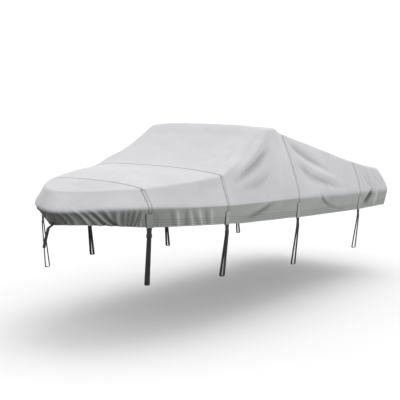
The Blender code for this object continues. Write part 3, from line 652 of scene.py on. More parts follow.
class Panel:
    """One panel's grid of points, with what its rows and columns are."""

    def __init__(self, name):
        self.name = name
        self.index = list(PANELS).index(name)
        rows, power, *columns = PANELS[name]
        self.columns = columns
        first = SEAMS[self.index - 1] + SEAM_LAND if self.index else 0.0
        last = SEAMS[self.index] - SEAM_LAND if self.index < len(SEAMS) else LENGTH
        self.rows = first + (last - first) * np.linspace(0, 1, rows + 1) ** power
        self.points = whole_rows(self.rows, columns)
        if self.index:
            self.add_land(SEAMS[self.index - 1], 1)
        if self.index < len(SEAMS):
            self.add_land(SEAMS[self.index], -1)
        self.shape_cloth()

    def add_land(self, seam, sign):
        """Adds the flat land beside a seam; sign is 1 aft of the seam and -1 ahead of it."""
        fore, aft = whole_rows(np.array((seam - SEAM_LAND, seam + SEAM_LAND)), self.columns)
        steps = np.array(SEAM_STEPS)
        shares = (0.5 + sign * steps / (2 * SEAM_LAND))[:, None, None]
        added = fore + (aft - fore) * shares
        if sign < 0:
            self.points = np.concatenate([self.points, added])
            self.rows = np.concatenate([self.rows, seam - steps])
        else:
            self.points = np.concatenate([added[::-1], self.points])
            self.rows = np.concatenate([seam + steps[::-1], self.rows])

    def measure(self):
        """Works out where each row and column lies on the cloth."""
        deck_count, side_count, skirt_count = self.columns
        flat = np.full(deck_count + 1, -1.0)
        half = np.concatenate([flat, side_shares(side_count) - 1, skirt_shares(skirt_count)])
        share = np.concatenate([np.linspace(0, 1, deck_count + 1), np.ones(side_count + skirt_count)])
        self.drop, self.deck_share = (np.concatenate([a[:0:-1], a]) for a in (half, share))
        self.middle = len(half) - 1
        self.shoulders = [self.middle - deck_count, self.middle + deck_count]
        length = arc_length(self.points)
        self.above_hem = np.minimum(length, length[:, -1:] - length)
        self.girth = length - length[:, [self.middle]]
        starboard, port = (np.abs(self.girth[:, [n]]) for n in self.shoulders)
        on_port = np.arange(self.girth.shape[1]) >= self.middle
        self.down = np.abs(self.girth) - np.where(on_port, port, starboard)
        self.seam_gap = np.min([np.abs(self.rows - seam) for seam in SEAMS], axis=0)
        self.runs = gunwale_runs(self.rows)

    def puckers(self):
        """Small gathers along the drawn hem."""
        runs = self.runs[:, None]
        start, end = PUCKER_ENDS
        drawn = 1 - (1 - PUCKER_AFT) * smooth((self.rows - start) / (end - start))[:, None]
        sway = waves(runs, self.girth * PUCKER_LEAN, PUCKER_WAVE, PUCKER_SEED)
        folds = np.sin(runs * math.tau / PUCKER_PITCH + PUCKER_SWAY * sway)
        folds *= 1 - PUCKER_UNEVEN + PUCKER_UNEVEN * sway
        return PUCKER_DEPTH * bell(self.above_hem / PUCKER_HEIGHT) * folds * drawn

    def shape_cloth(self):
        """Adds creases, the seams' sunk lines, the hem's cord, puckers and stitch rows, soft waves."""
        self.measure()
        gap = self.seam_gap[:, None]
        calm = free_of_seams(self.rows)[:, None]
        on_deck = smooth((1 - self.deck_share) / SEAM_PAD_ENDS)[None, :]
        pad = SEAM_PAD * smooth((SEAM_PAD_WIDTH - gap) / SEAM_PAD_EASE + 0.5) * on_deck
        sunk = SEAM_SINK * np.clip(1 - gap / SEAM_SINK_WIDTH, 0, 1)
        soft = UNDULATION * waves(self.rows[:, None], self.girth, UNDULATION_WAVE, UNDULATION_SEED)
        bead = HEM_BEAD * bell(self.above_hem / HEM_BEAD_HEIGHT)
        sewn = sum(bell((self.above_hem - height) / STITCH_SINK_WIDTH) for height in HEM_ROWS)
        creases = crease_relief(self.rows, self.down) * calm
        gathered = self.puckers() * calm
        amount = pad - sunk + (soft + bead - STITCH_SINK * sewn) * calm + gathered + creases
        # The folds' depth, which the cloth's material turns into painted shade in the troughs and
        # painted highlight on the ridges.
        self.fold = creases + PUCKER_TONE * gathered
        port = slice(self.shoulders[1] + 1, None)
        starboard = slice(self.shoulders[0] - 1, None, -1)
        for side, part in ((-1, starboard), (1, port)):
            y, z = self.points[:, part, 1], self.points[:, part, 2]
            self.fold[:, part] += relief(self.rows, y, z, self.drop[port], side)
        self.points = self.points + grid_normals(self.points) * amount[..., None]
        self.normals = grid_normals(self.points)

    def near_shoulder(self):
        """How much each point is smoothed where the shoulder turns round the bow or the stern."""
        away = np.min([np.abs(self.girth - self.girth[:, [n]]) for n in self.shoulders], axis=0)
        bow, stern = RELAX_BOW - self.rows, self.rows - RELAX_STERN
        return relax_share(away) * (smooth(bow / RELAX_FADE) + smooth(stern / RELAX_FADE))[:, None]

    def row_above_hem(self, height, side):
        """Points and normals of a line at a height above the hem, on one side."""
        count = self.columns[2] + 4  # from the hem to just above the gunwale
        near = slice(None, -count - 1, -1) if side > 0 else slice(0, count)
        spots, lays = (
            np.array([
                [np.interp(height, up, row[:, k]) for k in range(3)]
                for row, up in zip(values[:, near], self.above_hem[:, near])
            ])
            for values in (self.points, self.normals)
        )
        return spots, unit(lays)


class Transom:
    """The stern panel's part across the transom, as columns from port to starboard."""

    def __init__(self, columns):
        deck_count, side_count, skirt_count = columns
        shares = np.linspace(0, 1, deck_count + 1)
        sides, skirts = side_shares(side_count), skirt_shares(skirt_count)
        last = np.full(len(shares), LENGTH)
        low, high = line("shoulder", last), line("crown", last)
        x, y = ring_transom("shoulder", shares)
        top = np.stack([x, y, low + (high - low) * (1 - shares**CAMBER)], -1)[:, None, :]
        plain = band(lambda ring: ring_transom(ring, shares), last, sides, skirts)
        lift = (top[:, 0, 2] - low)[:, None]
        plain[:, :side_count, 2] += lift * (1 - sides)[None, :]
        port = np.concatenate([top, plain], axis=1)
        starboard = port[1:] * np.array((-1.0, 1.0, 1.0))
        self.points = np.concatenate([port[::-1], starboard])
        self.drop = np.concatenate([[-1.0], sides - 1, skirts])
        self.girth = arc_length(self.points)
        self.above_hem = self.girth[:, -1:] - self.girth
        across = np.linalg.norm(np.diff(self.points[:, side_count], axis=0), axis=-1)
        self.runs = np.concatenate([[0.0], np.cumsum(across)])

    def meet(self, panel):
        """Bends the transom's edges onto the panel's last row, so that they join."""
        last = panel.points[-1]
        starboard, port = panel.shoulders
        top = last[starboard : port + 1][::-1]
        near = smooth(1 - self.girth / TRANSOM_BLEND)[..., None]
        self.points = self.points + (top - self.points[:, 0])[:, None] * near
        runs = self.runs[:, None, None]
        edges = (
            (last[port:], 0, runs),
            (last[starboard::-1], -1, runs[-1] - runs),
        )
        for edge, column, away in edges:
            short = edge - self.points[column]
            self.points = self.points + short * smooth(1 - away / TRANSOM_BLEND)


# ---------------------------------------------------------------- meshes
WELD = 0.00002  # points of a cloth closer than this are one
SLIVER = 0.00001  # and edges shorter than this go


def new_object(name, mesh):
    made = bpy.data.objects.new(name, mesh)
    bpy.context.scene.collection.objects.link(made)
    return made


def mesh_from_grids(name, grids):
    """One mesh from grids of (points, uv, attributes) that share their edges."""
    points, uvs, faces, values = [], [], [], {}
    start = 0
    for grid, uv, attributes in grids:
        rows, columns = grid.shape[:2]
        index = start + np.arange(rows * columns).reshape(rows, columns)
        corners = (index[:-1, :-1], index[:-1, 1:], index[1:, 1:], index[1:, :-1])
        faces.append(np.stack(corners, -1).reshape(-1, 4))
        points.append(grid.reshape(-1, 3) - ORIGIN)
        uvs.append(uv.reshape(-1, 2))
        for key, value in attributes.items():
            values.setdefault(key, []).append(np.broadcast_to(value, (rows, columns)).reshape(-1))
        start += rows * columns
    points, uvs, faces = (np.concatenate(parts) for parts in (points, uvs, faces))
    mesh = bpy.data.meshes.new(name)
    mesh.from_pydata(points.tolist(), [], faces.tolist())
    layer = mesh.uv_layers.new(name="cloth")
    layer.data.foreach_set("uv", uvs[faces.reshape(-1)].astype(np.float32).reshape(-1))
    for key, parts in values.items():
        attribute = mesh.attributes.new(key, "FLOAT", "POINT")
        attribute.data.foreach_set("value", np.concatenate(parts).astype(np.float32))
    build = bmesh.new()
    build.from_mesh(mesh)
    bmesh.ops.remove_doubles(build, verts=build.verts, dist=WELD)
    bmesh.ops.dissolve_degenerate(build, edges=build.edges, dist=SLIVER)
    build.to_mesh(mesh)
    build.free()
    mesh.shade_smooth()
    return mesh


def relaxed(mesh, name, rounds):
    """Smooths a mesh by the weights of one of its attributes."""
    count = len(mesh.vertices)
    points = np.empty(count * 3)
    mesh.vertices.foreach_get("co", points)
    points = points.reshape(-1, 3)
    weights = np.empty(count)
    mesh.attributes[name].data.foreach_get("value", weights)
    ends = np.empty(len(mesh.edges) * 2, int)
    mesh.edges.foreach_get("vertices", ends)
    a, b = ends.reshape(-1, 2).T
    degree = np.bincount(np.concatenate([a, b]), minlength=count)[:, None]
    for _ in range(rounds):
        total = [
            np.bincount(a, points[b, k], count) + np.bincount(b, points[a, k], count)
            for k in range(3)
        ]
        mean = np.stack(total, -1) / np.maximum(degree, 1)
        points += (mean - points) * weights[:, None] * RELAX_STEP
    mesh.vertices.foreach_set("co", points.reshape(-1))
    mesh.update()


def panel_mesh(panel):
    uv = np.stack([np.broadcast_to(panel.rows[:, None], panel.girth.shape), panel.girth], -1)
    attributes = {
        "drop": panel.drop[None, :],
        "seam_gap": panel.seam_gap[:, None],
        "fold": panel.fold,
        "hem_height": panel.above_hem,
        "ahead": panel.runs[:, None],
        "relax": panel.near_shoulder(),
    }
    grids = [(panel.points, uv, attributes)]
    if panel.index == len(SEAMS):
        transom = Transom(panel.columns)
        transom.meet(panel)
        uv = np.stack([np.broadcast_to(transom.runs[:, None], transom.girth.shape), transom.girth], -1)
        attributes = {
            "drop": transom.drop[None, :],
            "seam_gap": 1.0,
            "fold": 0.0,
            "hem_height": transom.above_hem,
            "ahead": TRANSOM_RUN,
            "relax": relax_share(transom.girth),
        }
        grids.append((transom.points, uv, attributes))
    mesh = mesh_from_grids(panel.name, grids)
    relaxed(mesh, "relax", RELAX_ROUNDS)
    mesh.attributes.remove(mesh.attributes["relax"])
    return mesh


# ---------------------------------------------------------------- tapes and tabs
def land_paths(seam):
    """Fine paths down the port side on a seam's land, forward and aft, run on past the hem."""
    rows = np.array((seam - SEAM_LAND, seam + SEAM_LAND))
    points = half_section(rows, 1, LAND_COLUMNS)[:, LAND_COLUMNS[0] :]
    last = points[:, -1:] + unit(points[:, -1:] - points[:, -2:-1]) * LAND_PAST_HEM
    return np.concatenate([points, last], axis=1)


def on_land(seam, side, across, heights, lift):
    """Points on a seam's land, this far aft of the seam and this high, lifted off the cloth.

    Across and heights are arrays of one shape. It returns the points and the outward normals.
    """
    fore, aft = land_paths(seam)

    def at(x, z):
        out = np.empty(x.shape + (3,))
        for place in np.ndindex(x.shape):
            path = fore + (aft - fore) * (0.5 + x[place] / (2 * SEAM_LAND))
            out[place] = [np.interp(-z[place], -path[:, 2], path[:, k]) for k in range(3)]
        return out

    across, heights = np.broadcast_arrays(np.asarray(across, float), np.asarray(heights, float))
    aft_way = at(across + SIGHT, heights) - at(across - SIGHT, heights)
    up_way = at(across, heights + SIGHT) - at(across, heights - SIGHT)
    normals = unit(np.cross(aft_way, up_way))
    points = at(across, heights) + normals * lift
    mirror = np.array((side, 1.0, 1.0))
    return points * mirror, normals * mirror


def seam_heights(seam):
    """Heights of a strip's top, the edge between strip and tab, and the tab's lower edge."""
    top, gunwale, hem = (float(line(name, seam)) for name in ("shoulder", "gunwale", "hem"))
    first = top + (gunwale - top) * SIDE_FIRST * STRIP_TOP
    return first, gunwale - TAB_TOP, hem - TAB_BELOW_HEM


def sewn_plate(name, side, grid, uv, attributes, thickness):
    """A thin piece lying on the cloth, from its grid of points on that side's land."""
    if side < 0:
        grid, uv = grid[::-1], uv[::-1]
        attributes = {key: value[::-1] for key, value in attributes.items()}
    made = new_object(name, mesh_from_grids(name, [(grid, uv, attributes)]))
    wall = made.modifiers.new("thickness", "SOLIDIFY")
    wall.thickness = thickness
    wall.offset = 1.0
    return made


def slanted(across, share):
    """Places across a tab, moved as its forward edge slants; share is 0 at its top, 1 at its foot."""
    return across + TAB_SLANT * share * (TAB_HALF - across) / (2 * TAB_HALF)


def peek_object(name, seam, side):
    """The webbing under a tab, where it shows along the tab's forward edge; the dark strip also stands
    in for the shadow in the gap there.
    """
    _, top, bottom = seam_heights(seam)
    share = np.linspace(0, 1, PEEK_FACES[1] + 1)
    first, last = PEEKS[SEAMS.index(seam)]
    wide = first + (last - first) * share
    across = slanted(-TAB_HALF, share) - GAP - wide * np.linspace(1, 0, PEEK_FACES[0] + 1)[:, None]
    drop = PEEK_START + (top - bottom + PEEK_PAST - PEEK_START) * share
    heights = np.broadcast_to(top - drop, across.shape)
    grid, _ = on_land(seam, side, across, heights, SEAT)
    return sewn_plate(name, side, grid, np.stack([across, heights], -1), {}, WEBBING)


def tape_object(name, seam, side, half, thickness, top, bottom, faces, corner=0.0):
    """A tape over a seam; one with a corner is a tab, with round lower corners and a slant."""
    across = np.linspace(-half, half, faces[0] + 1)
    over = np.clip(np.abs(across) - (half - corner), 0, None)
    foot = bottom + corner - np.sqrt(np.clip(corner**2 - over**2, 0, None))
    share = np.linspace(0, 1, faces[1] + 1)
    heights = top + (foot[:, None] - top) * share[None, :]
    spread = np.repeat(across[:, None], len(share), 1)
    spread = slanted(spread, share) if corner else spread
    grid, _ = on_land(seam, side, spread, heights, SEAT)
    edge = np.minimum(half - np.abs(across)[:, None], heights - foot[:, None])
    gunwale, hem = (float(line(name, seam)) for name in ("gunwale", "hem"))
    # edge: distance in from the piece's edges, where its material paints shade.
    attributes = {
        "edge": np.minimum(edge, top - heights),
        "drop": (gunwale - heights) / (gunwale - hem),
        "ahead": np.full(heights.shape, gunwale_runs(np.array(seam))),
    }
    return sewn_plate(name, side, grid, np.stack([spread, heights], -1), attributes, thickness)


# ---------------------------------------------------------------- buckles and webbing
def hanger(word, side, number):
    """Placing of what hangs from a tab: local X runs along the hem, Y up, Z outboard."""
    low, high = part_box(f"buckle_{word}_{number}")
    seam = SEAMS[number - 1]
    x, y = ring_side("hem", np.array((seam - SEAM_LAND, seam + SEAM_LAND)))
    along = Vector((float(x[1] - x[0]) * side, float(y[1] - y[0]), 0.0)).normalized()
    out = Vector((along.y, -along.x, 0.0)) * side
    turn = Matrix((along * side, Vector((0, 0, 1)), out)).transposed()
    middle = (low + high) / 2
    return Matrix.Translation((middle.x, middle.y, high.z)) @ turn.to_4x4()


def plate_mesh(loops, half_depth, bevel):
    """A flat outline with holes, given as closed loops, with rounded edges, as a mesh."""
    curve = bpy.data.curves.new("plate", "CURVE")
    curve.dimensions = "2D"
    curve.fill_mode = "BOTH"
    curve.extrude = half_depth - bevel
    curve.bevel_depth = bevel
    curve.bevel_resolution = 2
    curve.offset = -bevel
    for loop in loops:
        spline = curve.splines.new("POLY")
        spline.points.add(len(loop) - 1)
        for point, (x, y) in zip(spline.points, loop):
            point.co = (x, y, 0.0, 1.0)
        spline.use_cyclic_u = True
    holder = new_object("plate", curve)
    bpy.context.view_layer.update()
    graph = bpy.context.evaluated_depsgraph_get()
    mesh = bpy.data.meshes.new_from_object(holder.evaluated_get(graph))
    bpy.data.objects.remove(holder)
    bpy.data.curves.remove(curve)
    return mesh


def arc(centre, radius, start, end, steps):
    """Points of an arc, angles in degrees."""
    angles = [math.radians(start + (end - start) * n / steps) for n in range(steps + 1)]
    return [(centre[0] + radius * math.cos(a), centre[1] + radius * math.sin(a)) for a in angles]


def rounded_box(width, height, middle_y, radius, steps):
    """Closed outline of a rectangle with round corners, about the line X = 0."""
    points = []
    for turn, (x, y) in enumerate(((1, 1), (-1, 1), (-1, -1), (1, -1))):
        centre = (x * (width / 2 - radius), middle_y + y * (height / 2 - radius))
        points += arc(centre, radius, 90 * turn, 90 * (turn + 1), steps)
    return points


def buckle_mesh():
    """A side-release buckle: moulding with a webbing slot, raised faces and ribbed grips."""
    outline = [*BUCKLE_HALF, *((-x, y) for x, y in reversed(BUCKLE_HALF))]
    corners = ((1, WINDOW_TOP), (1, BAR_TOP), (-1, BAR_TOP), (-1, WINDOW_TOP))
    window = [(end * WINDOW_HALF, -down) for end, down in corners]
    face = BUCKLE_THICKNESS / 2
    meshes = [plate_mesh([outline, window], BUCKLE_WALL, BUCKLE_EDGE)]
    for plate in BUCKLE_PLATES:
        meshes.append(plate_mesh([rounded_box(*plate, steps=4)], face, BUCKLE_EDGE))
    corner, edge = GRIP_RIB_ROUND
    for n in range(GRIP_RIBS):
        rib = rounded_box(*GRIP_RIB, GRIP_RIB_START + GRIP_RIB_STEP * n, corner, steps=2)
        meshes.append(plate_mesh([rib], face - GRIP_RIB_SINK, edge))
    build = bmesh.new()
    for mesh in meshes:
        build.from_mesh(mesh)
        bpy.data.meshes.remove(mesh)
    bmesh.ops.remove_doubles(build, verts=build.verts, dist=SLIVER)
    bmesh.ops.recalc_face_normals(build, faces=build.faces)
    made = bpy.data.meshes.new("buckle")
    build.to_mesh(made)
    build.free()
    return made


def loop_path(drop, lean):
    """Middle line of a webbing loop, seen along the rail: X is outboard, Y is up."""
    clear = GAP + WEBBING / 2
    bar = BUCKLE_THICKNESS / 2
    below = -BUCKLE_LENGTH - LOOP_STRAIGHT
    outer, inner = -lean, -lean - LOOP_WIDTH
    foot = -drop + LOOP_CORNER
    runs = [
        [(bar + clear, below), *arc((bar, -BAR_TOP), clear, 0, 90, LOOP_STEPS)],
        [*arc((-bar, -BAR_TOP), clear, 90, 180, LOOP_STEPS), (-bar - clear, below)],
        arc((inner + LOOP_CORNER, foot), LOOP_CORNER, 180, 270, LOOP_STEPS),
        arc((outer - LOOP_CORNER, foot), LOOP_CORNER, 270, 360, LOOP_STEPS),
    ]
    return [point for run in runs for point in run]


def refined(path, closed, longest):
    """The path with its long straight stretches cut into shorter ones."""
    points = [np.array(p) for p in path]
    ends = points[1:] + points[:1] if closed else points[1:]
    fine = []
    for a, b in zip(points, ends):
        count = max(1, math.ceil(np.linalg.norm(b - a) / longest))
        fine += [a + (b - a) * n / count for n in range(count)]
    return np.array(fine if closed else fine + [points[-1]])


def webbing_mesh(name, path, closed, half_width, place):
    """Flat webbing along a path in a plane, its width across that plane; place turns it."""
    path = refined(path, closed, WEBBING_STEP)
    padded = np.concatenate([path[-1:], path, path[:1]] if closed else [path[:1], path, path[-1:]])
    way = unit(padded[2:] - padded[:-2])
    flat = np.stack([-way[:, 1], way[:, 0]], -1)
    upper = [(w * half_width, t * WEBBING / 2) for w, t in zip(WEBBING_ACROSS, WEBBING_THICK)]
    spots = upper + [(w, -t) for w, t in reversed(upper)]
    ends = np.concatenate([path, path[:1]]) if closed else path
    lengths = np.concatenate([[0], np.cumsum(np.linalg.norm(np.diff(ends, axis=0), axis=1))])
    build = bmesh.new()
    layer = build.loops.layers.uv.new("cloth")
    rings = []
    for point, out in zip(path, flat):
        ring = [(point[0] + out[0] * t, point[1] + out[1] * t, w) for w, t in spots]
        rings.append([build.verts.new(place @ Vector(map(float, spot))) for spot in ring])
    for n in range(len(rings) if closed else len(rings) - 1):
        here, there = rings[n], rings[(n + 1) % len(rings)]
        for k in range(len(spots)):
            m = (k + 1) % len(spots)
            face = build.faces.new((here[k], here[m], there[m], there[k]))
            values = ((k, n), (m, n), (m, n + 1), (k, n + 1))
            for corner, (spot, at) in zip(face.loops, values):
                corner[layer].uv = (spots[spot][0], lengths[at])
    if not closed:
        build.faces.new(rings[0])
        build.faces.new(rings[-1])
    bmesh.ops.recalc_face_normals(build, faces=build.faces)
    mesh = bpy.data.meshes.new(name)
    build.to_mesh(mesh)
    build.free()
    mesh.shade_smooth()
    return mesh


def nose(height):
    """Station of the skirt on the centre line at the bow."""
    gunwale, hem = float(line("gunwale", 0.0)), float(line("hem", 0.0))
    return RINGS["hem"]["bow"] * max(0.0, (gunwale - height) / (gunwale - hem)) ** SKIRT_ROUND


# ---------------------------------------------------------------- stitches
STITCH_TREE = "stitch_rows"
STITCH_INPUTS = ("Pitch", "Length", "Width", "Height", "Skew")
STITCH_SEED = 5
STITCH_SKEW = 0.06  # how far a stitch may turn off its line, in radians
STITCH_FLAT = 0.8  # height of a stitch over its width
STITCH_LIFT = 0.0002  # of its middle, off the cloth
DECK_STITCH_LIFT = 0.0004
DECK_STITCH_END = 0.995  # share of the half deck where a seam's rows end
TAB_CLEAR = 0.002  # the hem's rows stop this far from a tab


def add_node(tree, kind, inputs=(), **settings):
    """A node with its settings; each of its inputs is a constant, or a socket to link."""
    made = tree.nodes.new(kind)
    for key, value in settings.items():
        setattr(made, key, value)
    for key, value in dict(inputs).items():
        if isinstance(value, bpy.types.NodeSocket):
            tree.links.new(value, made.inputs[key])
        else:
            made.inputs[key].default_value = value
    return made


def stitch_tree():
    """Geometry nodes: lays a short thread at even steps along every line of a guide mesh."""
    tree = bpy.data.node_groups.new(STITCH_TREE, "GeometryNodeTree")
    kinds = {"Geometry": "Geometry", **dict.fromkeys(STITCH_INPUTS, "Float")}
    for label, kind in {**kinds, "Seed": "Int", "Material": "Material"}.items():
        tree.interface.new_socket(label, in_out="INPUT", socket_type="NodeSocket" + kind)
    tree.interface.new_socket("Geometry", in_out="OUTPUT", socket_type="NodeSocketGeometry")

    def node(kind, inputs=(), **settings):
        return add_node(tree, kind, inputs, **settings).outputs

    given = node("NodeGroupInput")
    curve = node("GeometryNodeMeshToCurve", {"Mesh": given["Geometry"]})
    sizes = {"Curve": curve["Curve"], "Length": given["Pitch"]}
    steps = node("GeometryNodeResampleCurve", sizes, mode="LENGTH")
    tangent = node("GeometryNodeInputTangent")
    lay = node("GeometryNodeInputNamedAttribute", {"Name": "lay"}, data_type="FLOAT_VECTOR")
    along = node("FunctionNodeAlignRotationToVector", {"Vector": tangent["Tangent"]}, axis="X")
    ways = {"Rotation": along["Rotation"], "Vector": lay["Attribute"]}
    upright = node("FunctionNodeAlignRotationToVector", ways, axis="Z", pivot_axis="X")
    less = node("ShaderNodeMath", {0: given["Skew"], 1: -1.0}, operation="MULTIPLY")
    span = {2: less["Value"], 3: given["Skew"], "Seed": given["Seed"]}
    skew = node("FunctionNodeRandomValue", span, data_type="FLOAT")
    turn = node("FunctionNodeAxisAngleToRotation", {"Axis": (0.0, 0.0, 1.0), "Angle": skew[1]})
    ways = {"Rotation": upright["Rotation"], "Rotate By": turn["Rotation"]}
    turned = node("FunctionNodeRotateRotation", ways, rotation_space="LOCAL")
    faces = {"Segments": 4, "Rings": 4, "Radius": 0.5}
    thread = node("GeometryNodeMeshUVSphere", faces)
    sizes = {"X": given["Length"], "Y": given["Width"], "Z": given["Height"]}
    size = node("ShaderNodeCombineXYZ", sizes)
    places = {"Points": steps["Curve"], "Instance": thread["Mesh"]}
    places |= {"Rotation": turned["Rotation"], "Scale": size["Vector"]}
    lying = node("GeometryNodeInstanceOnPoints", places)
    whole = node("GeometryNodeRealizeInstances", {"Geometry": lying["Instances"]})
    worn = {"Geometry": whole["Geometry"], "Material": given["Material"]}
    finish = node("GeometryNodeSetMaterial", worn)
    node("NodeGroupOutput", {"Geometry": finish["Geometry"]})
    return tree


def stitch_sizes():
    sizes = bpy.context.scene.cover_sizes
    values = (sizes.pitch, sizes.stitch, sizes.thread, sizes.thread * STITCH_FLAT, STITCH_SKEW)
    return dict(zip(STITCH_INPUTS, values))


def stitched(name, guides, finish):
    """A piece of stitches along guide lines, each given as its (points, normals)."""
    tree = bpy.data.node_groups.get(STITCH_TREE) or stitch_tree()
    spots, lays, edges = [], [], []
    for points, normals in guides:
        first = len(spots)
        spots += [tuple(map(float, p)) for p in points - ORIGIN]
        lays += [tuple(map(float, n)) for n in normals]
        edges += [(n, n + 1) for n in range(first, len(spots) - 1)]
    mesh = bpy.data.meshes.new(name)
    mesh.from_pydata(spots, edges, [])
    lay = mesh.attributes.new("lay", "FLOAT_VECTOR", "POINT")
    lay.data.foreach_set("vector", [v for normal in lays for v in normal])
    holder = new_object(name + "_guide", mesh)
    rows = holder.modifiers.new("rows", "NODES")
    rows.node_group = tree
    thread = finish_of(finish)
    values = {**stitch_sizes(), "Seed": STITCH_SEED, "Material": thread}
    for socket in tree.interface.items_tree:
        if socket.in_out == "INPUT" and socket.name in values:
            rows[socket.identifier] = values[socket.name]
    bpy.context.view_layer.update()
    graph = bpy.context.evaluated_depsgraph_get()
    plain = bpy.data.meshes.new_from_object(holder.evaluated_get(graph))
    bpy.data.objects.remove(holder)
    plain.shade_smooth()
    made = new_object(name, plain)
    if not plain.polygons:
        raise RuntimeError(f"{name} has no stitches")
    if not plain.materials:
        plain.materials.append(thread)
    return made


# ---------------------------------------------------------------- materials
SURFACE = {"Sheen Roughness": 0.5, "Specular IOR Level": 0.35}  # of every material

# Tones of the cloth by place, most of them painted shade and painted light. A run is a distance from
# the stem along the gunwale, a span is in metres to port of the middle, and a drop is -1 at the
# shoulder, 0 at the gunwale, 1 at the hem.
BLEND_BOW_RUN = (0.6, 2.2)
BLEND_STERN_RUN = (3.8, 5.0)
# The skirt's darker, greener colour is painted shade, for a skirt that tucks under and faces down.
BLEND_STARTS = (-0.15, -0.02, -0.10)  # drop where the skirt's colour starts: bow, middle, stern
BLEND_ENDS = (0.22, 0.07, 0.20)  # and the drop where it is whole
# Painted shade darkening the skirt towards the bow and under the nose, and painted shadow on the nose's
# starboard skirt.
BOW_SKIRT_RUN = (0.9, 1.9)
NOSE_SKIRT_RUN = (0.05, 0.60)
NOSE_SKIRT_TONE = 0.50
FAR_SKIRT_RUN = (0.4, 1.1)  # the nose's starboard skirt lies in shadow
FAR_SKIRT_SPAN = (-0.14, 0.20)
FAR_SKIRT_TONE = 0.14
# Painted shade on the starboard side of the nose and painted light on its port side, below the
# shoulder.
NOSE_SPAN = (-0.30, 0.10)
FAR_SIDE_RUN = (0.3, 1.1)
FAR_SIDE_TONE = 0.80
NEAR_SIDE_RUN = (0.7, 1.4)
NEAR_SIDE_TONE = 1.06
SHOULDER_DROPS = (-1.0, -0.85)
# Painted shade towards the stern.
STERN_RUN = (6.2, 6.6)
STERN_TONE = 0.90
# Painted shade in fold troughs and painted highlight on fold ridges, by the folds' depth.
FOLD_RUN = (1.6, 3.0)
SKIRT_TROUGHS = (0.22, 0.34)  # at both ends of that run
SKIRT_RIDGES = (1.90, 1.40)
SIDE_TROUGH = 0.84
SIDE_RIDGE = 1.03
TROUGH_DEPTH = -0.026  # where a trough's tone is whole
RIDGE_HEIGHT = 0.014

# Tones by distance: where they start and end, and the tone at both places.
# Painted shade in the groove of a seam across the deck.
SEAM_GROOVE = (0.0025, 0.0105, 0.32, 1.0)
# Painted shadow along the hem's edge.
HEM_EDGE = (0.0, 0.014, 0.88, 1.0)
# Painted shade along the hem's stitch rows.
ROW_LINE = (0.002, 0.0085, 0.64, 1.0)
# Painted shade at the edges of tapes and tabs, where they lie on the cloth.
WOVEN_EDGE = (0.001, 0.010)
# Uneven patches: how many in a metre, about, and the tones between which they vary.
NOISE_SPAN = (0.3, 0.7)  # part of the noise's range that makes the whole change
CLOTH_BROAD = (1.6, 0.965, 1.03)
CLOTH_FINE = (38.0, 0.985, 1.012)
CLOTH_ROUGHNESS = (9.0, 0.56, 0.70)
PLASTIC_ROUGHNESS = (120.0, 0.36, 0.50)
WEBBING_PATCHES = (18.0, 0.88, 1.12)
THREAD_PATCHES = (160.0, 0.9, 1.08)
FLOOR_PATCHES = (0.6, 0.99, 1.0)
WOVEN_PATCHES = 14.0
WOVEN_TONES = (0.95, 1.04)
PLASTIC_WEAR = (0.45, 0.75, 0.9, 1.25)
PLASTIC_WEAR_SCALE = 60.0
PLASTIC_GRAIN_SCALE = 900.0
# Pitches of the weaves, and of the webbing's ribs along it and threads across.
CLOTH_PITCH = 0.0016
TAPE_PITCH = 0.0014
TAB_PITCH = 0.0018
RIB_PITCHES = (0.0040, 0.0024)
RIB_THREADS = 0.6  # height of those threads over the ribs'
RIB_TONES = (-1.4, 1.4, 0.75, 1.3)
SOFT_SCALE = 22.0  # soft dents in the coated cloth


